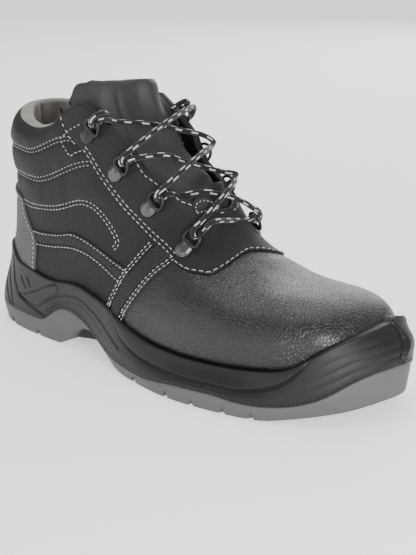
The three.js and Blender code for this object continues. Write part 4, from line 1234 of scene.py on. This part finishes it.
def makeTongue():
    (outPlace, outTurn), (inPlace, inTurn) = (
        tonguePlaces(side, curveThrough(line, 2.0)) for side, line in ((-1, tongueLine), (1, tongueFar)))
    # the top dips towards the inner side and is rounded at its outer corner
    across = np.linspace(outTurn[-1], inTurn[-1], 48)[1:-1]
    topZ = tongue["top"] - 2.6 * smoothStep(across, 0.44, 0.56) - 5.1 * smoothStep(across, 0.59, inTurn[-1])
    topZ = topZ - 1.2 * bell(across - 0.59, 0.03) - 2.2 * (1 - smoothStep(across, outTurn[-1], outTurn[-1] + 0.035))
    topPlace = rootBetween(lambda p: lastPoints(p, across, tongueSections)[:, 2] - topZ, 0.02, 6.0, len(across))
    low = np.linspace(inTurn[0], outTurn[0], 34)[1:-1]
    lowPlace = rootBetween(lambda p: lastPoints(p, low, tongueSections)[:, 0] - tongue["foot"], 4.0, 10.5, len(low))
    place = np.concatenate([outPlace, topPlace, inPlace[::-1], lowPlace])
    turn = np.concatenate([outTurn, across, inTurn[::-1], low])
    place, turn, distance, faces = cutPatch(place, turn, 0.5, 1.8, tongue["edge"], (0.04, 0.14, 0.32, 0.6, 1.0))
    base, normal = (find(place, turn, tongueSections) for find in (lastPoints, lastNormals))
    _, y, z = base.T
    depth = wallAt(base) + 0.3 + tongue["depth"] * smoothStep(z, 82.8, 102.1) + tongue["halfThickness"]
    half = tongue["halfThickness"] * edgeRound(distance)
    # fuller where it swells out between the ears, towards the inner side
    room = smoothStep(-throatRoom(base), 0, 9)
    middle = tongue["swell"] * room * smoothStep(y, 2, 15) * smoothStep(z, 98, 112) - depth
    # folds pressed by the lace and the bend of the instep
    inside = smoothStep(distance, 0.3, 1.6) * (0.35 + 0.65 * smoothStep(162 - z, 2, 16))
    folds = -1.5 * bell(y + 12 - 0.05 * (z - 150), 2.6) * smoothStep(z, 128, 146)
    folds = folds - 1.1 * bell(y - 7 + 0.1 * (z - 150), 3.0) * smoothStep(z, 118, 140)
    folds = folds + softNoise(base * [1, 1, 0.6], 14, 2.4) * 0.8 + softNoise(base, 6, 8.1) * 0.2
    heights = (middle + half + folds * inside, middle - half)
    points = np.vstack([base + normal * height[:, None] for height in heights])
    faces += flipped(faces, len(base))
    kinds = np.arange(len(faces)) >= len(faces) // 2
    piece = meshPiece("tongue_pad", points, faces, ["tongue", "lining"], {"seam": np.zeros(len(points))}, kinds)
    settle(joined(piece), "soft_leather", "tongue")


makeTongue()


# Insole: x and height of its top, how thick it is, how much its middle is crowned, its gap to the leather
insole = {
    "level": [[-60, 34.4], [-4.1, 34.4], [44.9, 31.5], [95, 28.5], [138.1, 26.4], [172, 27.5], [203.1, 29.5],
              [240, 29.5]],
    "thickness": 4.4,
    "crown": 0.9,
    "gap": 0.6,
}


def makeInsole():
    room, rows, columns = collar["wall"] + insole["gap"], 90, 40
    back = castOn([(-160, 0, 35)], (1, 0, 0))[0][0] + room
    front = castOn([(360, 3, 31)], (-1, 0, 0))[0][0] - room
    x = (back + front) / 2 - (front - back) / 2 * np.cos(np.linspace(0.03, np.pi - 0.03, rows))
    z = onLine(x, insole["level"])
    edges = [castOn(np.column_stack([x, np.full(rows, -160 * way), z - 1]), (0, way, 0))[:, 1:2] + way * room
             for way in (1, -1)]
    across = -np.cos(np.linspace(0.0, np.pi, columns))
    y = sum(edges) / 2 + (edges[1] - edges[0]) / 2 * across
    height = z[:, None] - insole["crown"] * np.abs(across) ** 6
    top = np.stack(np.broadcast_arrays(x[:, None], y, height), -1).reshape(-1, 3)
    top[:, 2] += softNoise(top, 12, 4.4) * 0.25
    low = top * [1, 1, 0] + [0, 0, 1] * (np.repeat(z, columns) - insole["thickness"])[:, None]
    index = np.arange(rows * columns).reshape(rows, columns)
    rim = np.concatenate([index[0], index[1:, -1], index[-1, -2::-1], index[-2:0:-1, 0]])
    faces = gridFaces(rows, columns, False).tolist()
    skirt = [[a, b, b + len(top), a + len(top)] for a, b in zip(rim, np.roll(rim, -1))]
    faces += flipped(faces, len(top)) + skirt
    piece = meshPiece("insole_cloth", np.vstack([top, low]), faces, ["insole"])
    reshape(piece, lambda shape: bmesh.ops.recalc_face_normals(shape, faces=shape.faces))
    settle(piece, "insole_cloth", "insole")


makeInsole()
print("tongue and insole made")


# Cup of the sole: side wall from the seam to the rim, rim rounded and turned in to the leather
rimZ, seamZ, groundZ, rimWidth = (softSoleAt(column, stationX) for column in soleColumns)
soleShare = (stationX - sole["back"]) / sole["length"]


def lineDistance(u, z, line):
    # distance of points of the unrolled wall from a line drawn on it
    best = np.full(np.shape(u), 1e9)
    for (au, az), (bu, bz) in zip(line[:-1], line[1:]):
        du, dz = bu - au, bz - az
        t = np.clip(((u - au) * du + (z - az) * dz) / (du * du + dz * dz), 0, 1)
        best = np.minimum(best, np.hypot(u - au - t * du, z - az - t * dz))
    return best


# Lines on the cup's wall: way round from the middle of the heel's back in mm, then height
heelLines = [
    ([(37, 35), (39, 27), (44, 19), (48, 14)], 0.9, -0.8),
    ([(40, 44), (42, 37), (47, 29), (50.5, 21), (52, 14)], 0.9, -0.9),
    ([(51, 46), (53, 39.5), (55, 31), (60, 23.5), (68, 20.5), (76, 18.2), (84, 16.8), (92, 14.5)], 1.0, -1.1),
    ([(61, 23.2), (74, 27.8), (84, 31.9), (97, 38), (104, 40)], 0.8, -0.6),
    ([(62, 22.4), (68, 21.6), (82, 20.0), (91, 26.0), (99, 30.2), (109, 33.9), (119, 35.3), (127, 34.6), (134, 32.4),
      (145, 28.6), (158, 22.5), (172, 16.5)], 0.9, -0.8),
    ([(92, 20), (101, 26.5), (110, 29.8), (119, 31), (128, 29.8), (138, 26), (150, 19.5)], 0.8, -0.4),
    ([(64.5, 36), (66, 32.6), (69.5, 29.3)], 0.65, -1.1),
    ([(71.5, 36.5), (73.5, 34.2), (74.5, 31.4)], 0.65, -1.1),
]
tabLine = [(369, 52), (370, 44), (369.5, 40.7), (366, 36.7), (363, 33.6), (360.5, 29)]
# x, then the share of the wall's height at which its groove runs
grooveShares = [[86, 1.05], [92, 0.93], [96, 0.82], [99, 0.7], [104, 0.625], [113, 0.55], [122, 0.52], [135, 0.47],
                [151, 0.37], [168, 0.34], [188, 0.37], [197, 0.43], [205, 0.5], [216, 0.66], [223, 0.84], [230, 1.05]]
# How far each feature of the cup stands out, the radius of its rim, and how far the tab lifts the rim
cup = {
    "bead": 1.3,
    "groove": -1.1,
    "ribs": 0.45,
    "facet": 0.5,
    "tabOut": 0.7,
    "tabDome": 2.4,
    "tabLift": 3.0,
    "rim": 1.1,
}
stationRound = lengthAlong(stationSpots)
wholeRound = stationRound[-1] + np.linalg.norm(stationSpots[0] - stationSpots[-1])
tabStart, tabEnd = 367.0, 398.0
facetTop = [[61, 23.2], [74, 27.8], [84, 31.9], [97, 38], [104, 40]]
facetLow = [[62, 22.4], [68, 21.6], [82, 20.0], [91, 26.0], [99, 30.2], [109, 33.9]]


def cupFeatures(share, height):
    # how far the wall stands out at a share of its height, for each station
    toe = smoothStep(soleShare, 0.9, 0.96)
    side = (1 - toe) * smoothStep(soleShare, 0.4, 0.55)
    edge = onLine(stationX, grooveShares)
    half = 0.5 * (1 - edge)
    bead = cup["bead"] * np.sqrt(np.clip(1 - ((share - edge - half) / (half + 0.02)) ** 2, 0, 1)) - 0.2
    groove = cup["groove"] * bell((share - edge) * (rimZ - seamZ), 0.9)
    lower = 0.5 * np.sin(np.pi * np.clip(share / edge, 0, 1))
    out = side * (np.where(edge < 0.97, bead, 0) + groove + lower)
    # ribs across the toe, each with a crease below it
    ribs = cup["ribs"] * np.abs(np.sin(np.pi * np.clip((share - 0.02) / 0.24, 0, 4))) ** 0.5 - 0.25
    out = out + toe * np.where((share > 0.02) & (share < 0.98), ribs, 0)
    # lines of the heel, alike on both sides, and a raised facet between two of them
    near = np.minimum(stationRound, wholeRound - stationRound)
    for line, width, depth in heelLines:
        out = out + depth * bell(lineDistance(near, height, line), width)
    top, low = onLine(near, facetTop), onLine(near, facetLow)
    facet = (near > 62) & (near < 104)
    out = out + facet * cup["facet"] * smoothStep(top - height, 0, 1.2) * smoothStep(height - low, 0, 1.2)
    # tab over the toe
    out = out - 1.1 * bell(lineDistance(stationRound, height, tabLine), 0.7)
    left = np.interp(height, *np.array(tabLine)[::-1, ::-1].T)
    onTab = smoothStep(stationRound - left, 0.3, 1.8) * smoothStep(tabEnd - stationRound, -1.5, 1.5)
    return out + (cup["tabOut"] + cup["tabDome"] * bell(share - 0.5, 0.3)) * onTab - 0.8 * toe * onTab * ribs


tabRise = smoothStep(stationRound, tabStart, tabStart + 11) ** 0.7 * smoothStep(tabEnd - stationRound, -2, 8)
rimZ = rimZ + cup["tabLift"] * tabRise
rimReach = reachAt(rimZ)


def makeCup():
    flare, edge = sole["flare"], cup["rim"]
    top, low = rimZ - edge, seamZ + 0.3
    rings = [ringOf(flare - 2.5, low)]
    for share in np.linspace(0, 1, 56):
        height = low + (top - low) * share
        lean = share * share * (3 - 2 * share + (2 * share - 2) * smoothStep(soleShare, 0.86, 0.95))
        out = flare + (rimReach + rimWidth - flare) * lean + cupFeatures(share, height)
        rings.append(ringOf(out, height))
    # over the rounded rim, then down inside to the leather
    for angle in np.radians([25, 50, 72, 90]):
        rings.append(ringOf(out - edge * (1 - math.cos(angle)), top + edge * math.sin(angle)))
    for inward, drop in ((0.45, -0.05), (0.75, 0.05), (0.92, 0.5), (1.0, 1.4), (1.06, 4.0)):
        rings.append(ringOf(out - edge + (rimReach - 0.7 - out + edge) * inward, rimZ - drop))
    points = np.vstack(rings)
    facts = {"along": np.tile(stationRound, len(rings)), "height": points[:, 2] - np.tile(seamZ, len(rings))}
    piece = meshPiece("sole_cup", points, gridFaces(len(rings), stationCount), ["cup"], facts)
    settle(piece, "black_sole", "midsole")


makeCup()


# Outsole: side wall and a ground face with slots between the lugs; place and slant of each cross slot
lugSlots = [[-23.3, 0], [6.4, 0], [100.4, 12], [133.8, 8], [161, 0], [189.8, -8], [214.1, -16]]
centreSlot = [91.3, 227.7]
slot = {"depth": 3.2, "half": 0.75, "slope": 1.9}


def slotRise(x, y):
    ends = np.maximum(np.maximum(centreSlot[0] - x, x - centreSlot[1]), 0)
    away = np.hypot(y, ends)
    for middle, slant in lugSlots:
        a = math.radians(slant)
        away = np.minimum(away, np.abs((x - middle) * math.cos(a) + y * math.sin(a)))
    return slot["depth"] * (1 - smoothStep(away, slot["half"], slot["slope"]))


def groundSpots():
    # spots beside both edges of every slot and of the shank, and an even field between
    lines = []
    reach = np.arange(-70, 70, 1.6)
    along = np.arange(centreSlot[0] - 2, centreSlot[1] + 2, 1.6)
    offsets = (-2.0, -1.3, -0.6, 0.6, 1.3, 2.0)
    for middle, slant in lugSlots:
        c, s = math.cos(math.radians(slant)), math.sin(math.radians(slant))
        lines += [np.stack([middle + off * c - reach * s, off * s + reach * c], 1) for off in offsets]
    lines += [np.stack([along, np.full(len(along), off)], 1) for off in offsets]
    outer, inner = shankSides
    for ys in (np.arange(outer - 14, outer + 2.5, 1.2), np.arange(inner - 1, inner + 16, 1.2)):
        lines.append(np.stack(np.meshgrid(np.arange(29.5, 92, 1.3), ys), -1).reshape(-1, 2))
    lines.append(np.stack(np.meshgrid(np.arange(-55, 260, 4.0), np.arange(-64, 64, 4.0)), -1).reshape(-1, 2))
    return np.vstack(lines)


def makeOutsole():
    rings = []
    for share, out in ((0, -1.0), (0.04, -0.8), (0.12, -0.5), (0.3, -0.1), (0.6, 0.8), (0.92, 1.4), (1.0, 1.1)):
        ring = ringOf(out, groundZ + (seamZ - groundZ) * share)
        ring[:, 2] = np.minimum(ring[:, 2] + slotRise(ring[:, 0], ring[:, 1]) * (1 - share) ** 2, seamZ)
        rings.append(ring)
    spots, triangles = meshLoop(rings[0][:, :2], groundSpots(), 0.7, 1e-5)
    order = np.argsort(stationX)
    ground = np.interp(spots[:, 0], stationX[order], groundZ[order])
    # the shank fills the middle of the arch
    outer, inner = shankSides
    middle = smoothStep(spots[:, 1], outer - 1.5, outer + 0.5) * smoothStep(inner - spots[:, 1], -1.5, 0.5)
    low = np.interp(spots[:, 0], *shankLine.T, left=99, right=99)
    ground = ground + middle * (np.minimum(low, ground) - ground)
    bottom = np.column_stack([spots, ground + slotRise(*spots.T)])
    sideFaces = gridFaces(len(rings), stationCount).tolist()
    start = len(rings) * stationCount
    wallTop, lid = start - stationCount, start + len(bottom)
    around = [*range(1, stationCount), 0]
    faces = sideFaces + flipped(triangles, start)
    faces += [[wallTop + i, wallTop + j, lid + j, lid + i] for i, j in enumerate(around)]
    # under the arch the rubber is painted dark, as the shade in the arch's hollow
    kinds = np.zeros(len(faces), int)
    centres = spots[np.array(triangles)].mean(1)
    archShade = (centres[:, 0] > 28) & (centres[:, 0] < 93) & (centres[:, 1] > outer - 4)
    kinds[len(sideFaces):len(sideFaces) + len(archShade)] = archShade
    points = np.vstack([*rings, bottom, ringOf(-4.0, seamZ)])
    piece = meshPiece("sole_tread", points, faces, ["tread", "hollow"], None, kinds)
    settle(joined(piece, 0.00003), "grey_rubber", "outsole")


makeOutsole()
print("sole made")


# D-rings: domed half-round plate, barrel and bent wire; x towards the throat, z out of the leather
ringRows = [[55.8, 133.4, 64.2, 142.8], [76.8, 113.4, 84.4, 121.2], [101.2, 96.0, 107.9, 102.8],
            [128.9, 76.3, 131.4, 81.6]]
# Plate: radius, where its straight end lies, and its dome as rings drawn in to the centre and raised
plate = {
    "radius": 4.75,
    "end": [4.4, 4.3],
    "centre": [1.6, 0],
    "dome": [(1.0, -1.2), (1.0, 0.0), (0.995, 0.55), (0.97, 0.85), (0.92, 1.0), (0.84, 1.08), (0.78, 1.3), (0.7, 1.6),
             (0.5, 1.95), (0.25, 2.12), (0.05, 2.17)],
}
# Barrel: place, half its length and radius; wire: half of its line, and its radius
barrel = {"along": 4.6, "half": 4.7, "up": 1.25, "radius": 1.35, "rings": 16}
wireHalf = [[4.9, -1.0, 1.3], [4.8, -3.4, 1.3], [5.4, -4.95, 1.5], [7.6, -5.25, 2.2], [10.1, -4.6, 3.0],
            [12.0, -2.8, 3.7], [12.8, -1.1, 4.0]]
wireRadius = 0.95


ringLift = 2.22


def ringFrame(side, row):
    spots = fromSide(side, [row[:2], row[2:]])
    outward = unit(lastNormals(*placesOf(spots)).sum(0))
    heading = spots[1] - spots[0]
    heading = unit(heading - outward * (heading @ outward))
    return np.column_stack([heading, np.cross(outward, heading), outward]), spots[0] + outward * ringLift


def tube(path, radius, sides):
    # rings along a path whose frame doesn't turn suddenly
    path = np.asarray(path, float)
    way = unit(np.gradient(path, axis=0))
    normal = np.zeros_like(path)
    first = np.array([0.0, 0.0, 1.0])
    for k in range(len(path)):
        first = unit(first - way[k] * (first @ way[k]))
        normal[k] = first
    angles = np.arange(sides)[:, None] / sides * 2 * np.pi
    ring = np.cos(angles) * normal[:, None] + np.sin(angles) * np.cross(way, normal)[:, None]
    return (path[:, None] + np.reshape(radius, (-1, 1, 1)) * ring).reshape(-1, 3)


def ringParts():
    points, faces, starts = [], [], [0]

    def put(spots, rows):
        faces.extend((gridFaces(rows, len(spots) // rows) + starts[-1]).tolist())
        points.append(spots)
        starts.append(starts[-1] + len(spots))

    # the plate's outline runs from the barrel round the back
    angles, (endX, endY) = np.linspace(np.pi / 2, 1.5 * np.pi, 29), plate["end"]
    arc = plate["radius"] * np.stack([np.cos(angles), np.sin(angles)], 1)
    outline = curveThrough(np.vstack([[endX, endY], arc, [endX, -endY]]), 0.4) - plate["centre"]
    put(np.vstack([np.column_stack([outline * share + plate["centre"], np.full(len(outline), z)])
                   for share, z in plate["dome"]]), len(plate["dome"]))
    # barrel with a lip of the plate bent over the wire
    count = barrel["rings"]
    line = [[barrel["along"], y, barrel["up"]] for y in np.linspace(-barrel["half"], barrel["half"], count)]
    fromEnd = np.minimum(np.arange(count), np.arange(count)[::-1])
    put(tube(line, barrel["radius"] * edgeRound(fromEnd / 2.0 + 0.12), 16), count)
    wire = curveThrough(wireHalf + [[a, -b, c] for a, b, c in wireHalf[::-1]], 0.55)
    put(tube(wire, wireRadius, 12), len(wire))
    return np.vstack(points), faces, starts[1]


def makeRings():
    spots, faces, plateEnd = ringParts()
    # the plates are bare metal but for the top ones; barrels and wires are enamelled
    bare = [0 if f[0] < plateEnd else 1 for f in faces]
    for side, name in ((-1, "outer"), (1, "inner")):
        for k, row in enumerate(ringRows):
            turnTo, origin = ringFrame(side, row)
            kinds = bare if k else [1] * len(faces)
            placed = spots @ turnTo.T + origin
            piece = meshPiece(f"ring_{name}_{k + 1}", placed, faces, ["metal", "enamel"], None, kinds)
            settle(piece, "black_metal", f"d_ring_{name}_{k + 1}")


makeRings()
print("rings made")


# Lace: one cord through all the rings, two ends under the leather beside the tongue
laceRadius = 1.6
laceSides = 16
# runs that only bow out of the instep, by how much, and runs with spots of their own
bowWay = np.array([0.745, 0, 0.667])
laceBows = {"b": 9, "d": 12, "f": 14}
laceFitted = {
    "a": [[67.9, -20.3, 140.9], [76.8, -4.7, 138.5], [83.8, 12.9, 133.2], [89.2, 26.3, 129]],
    "c": [[98.3, -13.5, 124.6], [101, -4.2, 120.5], [108.5, 17, 112.1]],
    "e": [[114.7, -18, 104.5], [123.5, -10.7, 106.4], [128.8, -3.9, 105.4], [135.3, 9.9, 99.8]],
    "g": [[142.9, -18.5, 94.3], [136.2, 13.1, 87.5]],
}
laceEndRoute = [[64.5, 146.3], [65.6, 139], [67.3, 131.1], [69, 123.2], [70.1, 115.4]]


def inRing(side, k, spot):
    turnTo, origin = ringFrame(side, ringRows[k])
    return turnTo @ np.array(spot, float) + origin


def thread(side, k, higherFirst=True, upperOver=True):
    # the strand over the wire goes in from outside and comes out below the wire
    up = -1.7 * side * (1 if upperOver else -1)
    # spots in the ring's own frame: along it, across it as a share of up, and out
    over = {
        -1: ((17.0, 1.1, 5.4), (13.6, 1, 6.7), (10.6, 0.5, 5.4), (8.8, 0, 2.8)),
        1: ((17.5, 0.9, 5.2), (13.5, 1, 6.8), (9.0, 1, 7.3), (4.8, 0.8, 6.3), (5.6, 0.4, 4.2), (9.0, 0, 1.8)),
    }[side]
    under = ((12.4, -0.6, 0.7), (16.5, -1, 2.4))
    line = [inRing(side, k, (a, b * up, c)) for a, b, c in over + under]
    return line if higherFirst else line[::-1]


def underLeather(side):
    # the hidden end's route, as deep as in the part
    spots = fromSide(side, laceEndRoute)
    return spots - lastNormals(*placesOf(spots)) * (collar["wall"] + 0.72 + 1.8)


def lacePath():
    def run(name, start, end, reverse=False):
        if name in laceFitted:
            return laceFitted[name][::-1] if reverse else laceFitted[name]
        return [start + (end - start) * t + bowWay * laceBows[name] * 4 * t * (1 - t) for t in (0.25, 0.5, 0.75)]

    outerEnd, innerEnd = underLeather(-1), underLeather(1)
    # over the ear's edge, from the hidden end into the first ring
    line = [outerEnd[0], inRing(-1, 0, (18.2, 1.6, 0.2)), inRing(-1, 0, (16.6, 1.8, 4.2))] + thread(-1, 0)[1:]
    # name of the run, then the ring it comes to: side, row, fitted points backwards, higher strand first
    order = [("a", 1, 1, False, True), ("d", -1, 2, False, True), ("e", 1, 3, False, True), ("g", -1, 3, True, False),
             ("f", 1, 2, False, False), ("c", -1, 1, True, False)]
    for name, side, k, reverse, higherFirst in order:
        stop = thread(side, k, higherFirst)
        line = line + run(name, line[-1], stop[0], reverse) + stop
    stop = thread(1, 0, True, False)
    line = line + run("b", line[-1], stop[0]) + stop[:-1]
    line = line + [inRing(1, 0, (17.8, -1.6, 2.8)), inRing(1, 0, (21.6, -1.4, -1.4)), innerEnd[0]]
    return np.array(line), outerEnd, innerEnd


def relaxed(rows, times):
    for _ in range(times):
        rows[1:-1] = (rows[:-2] + 2 * rows[1:-1] + rows[2:]) / 4
    return rows


def laceTube(name, path, turned=1):
    path = relaxed(curveThrough(path, 0.8), 3)
    spots = tube(path, laceRadius, laceSides)
    length = lengthAlong(path)
    # the flecks keep to the side that faces away from the boot
    way = unit(np.gradient(path, axis=0))
    out = (unit(path * [1, 0.4, 1] - [22, 0, 60]) + [0.15, -0.45, 0.1]) * turned
    out = relaxed(out - way * (out * way).sum(1, keepdims=True), 60)
    out = unit(out - way * (out * way).sum(1, keepdims=True))
    aside = np.cross(way, out)
    reach = unit(spots.reshape(len(path), laceSides, 3) - path[:, None])
    facts = {"along": np.repeat(length, laceSides), "towards": (reach * out[:, None]).sum(2).ravel(),
             "aside": (reach * aside[:, None]).sum(2).ravel()}
    piece = meshPiece(name, spots, gridFaces(len(path), laceSides), ["lace"], facts)
    # closed ends
    return reshape(piece, lambda shape: bmesh.ops.holes_fill(shape, edges=shape.edges)), length[-1]


def makeLace():
    path, outerEnd, innerEnd = lacePath()
    piece, _ = laceTube("lace_run", path)
    settle(piece, "lace", "lace_crossings")
    for side, name, route in ((-1, "outer", outerEnd), (1, "inner", innerEnd)):
        end, length = laceTube(f"lace_end_{name}_cord", route, -side)
        settle(end, "lace", f"lace_end_{name}")
        tuple(route[0] * mm)
        max(length * mm, 0.03)
        [tuple(p) for p in route * mm]


makeLace()
print("lace made")


# Pale floor, soft light
stage = {"floorTones": ((0.86, 0.86, 0.86), (0.9, 0.9, 0.9)), "floorGlow": 0.7, "sky": 0.6}
# name, place, size, power and the spot it points to
lamps = [
    ("overhead", (-0.2, 0.15, 1.3), 1.2, 9, (0.1, 0, 0)),
    ("behind", (-0.45, 1.15, 0.62), 1.0, 8, (0.13, 0, 0.06)),
    ("side", (-0.5, -0.95, 0.35), 0.8, 2.8, (0.05, 0, 0.06)),
    ("front", (1.05, -0.4, 0.3), 0.5, 13, (0.2, 0, 0.04)),
    ("low", (0.4, -1.1, 0.15), 0.5, 2.5, (0.2, 0, 0.03)),
]


def makeStage():
    floor = bpy.data.meshes.new("floor")
    floor.from_pydata([(-3, -3, 0), (3, -3, 0), (3, 3, 0), (-3, 3, 0)], [], [(0, 1, 2, 3)])
    sheet = Sheet("pale_floor", Roughness=0.7, Emission_Color=(1, 1, 1, 1), Emission_Strength=stage["floorGlow"])
    floor.materials.append(sheet.feed(Base_Color=sheet.mix(sheet.noise(0.5, 2, 0.5), *stage["floorTones"])))
    addObject("floor", floor)
    world = bpy.data.worlds.new("studio")
    world.use_nodes = True
    world.node_tree.nodes["Background"].inputs[0].default_value = (1, 1, 1, 1)
    world.node_tree.nodes["Background"].inputs[1].default_value = stage["sky"]
    bpy.context.scene.world = world
    for name, spot, size, power, aim in lamps:
        data = bpy.data.lights.new(name, "AREA")
        data.shape = "DISK"
        data.size = size
        data.energy = power
        lamp = addObject(name, data)
        way = Vector(aim) - Vector(spot)
        lamp.matrix_world = Matrix.Translation(spot) @ way.to_track_quat("-Z", "Y").to_matrix().to_4x4()


makeStage()
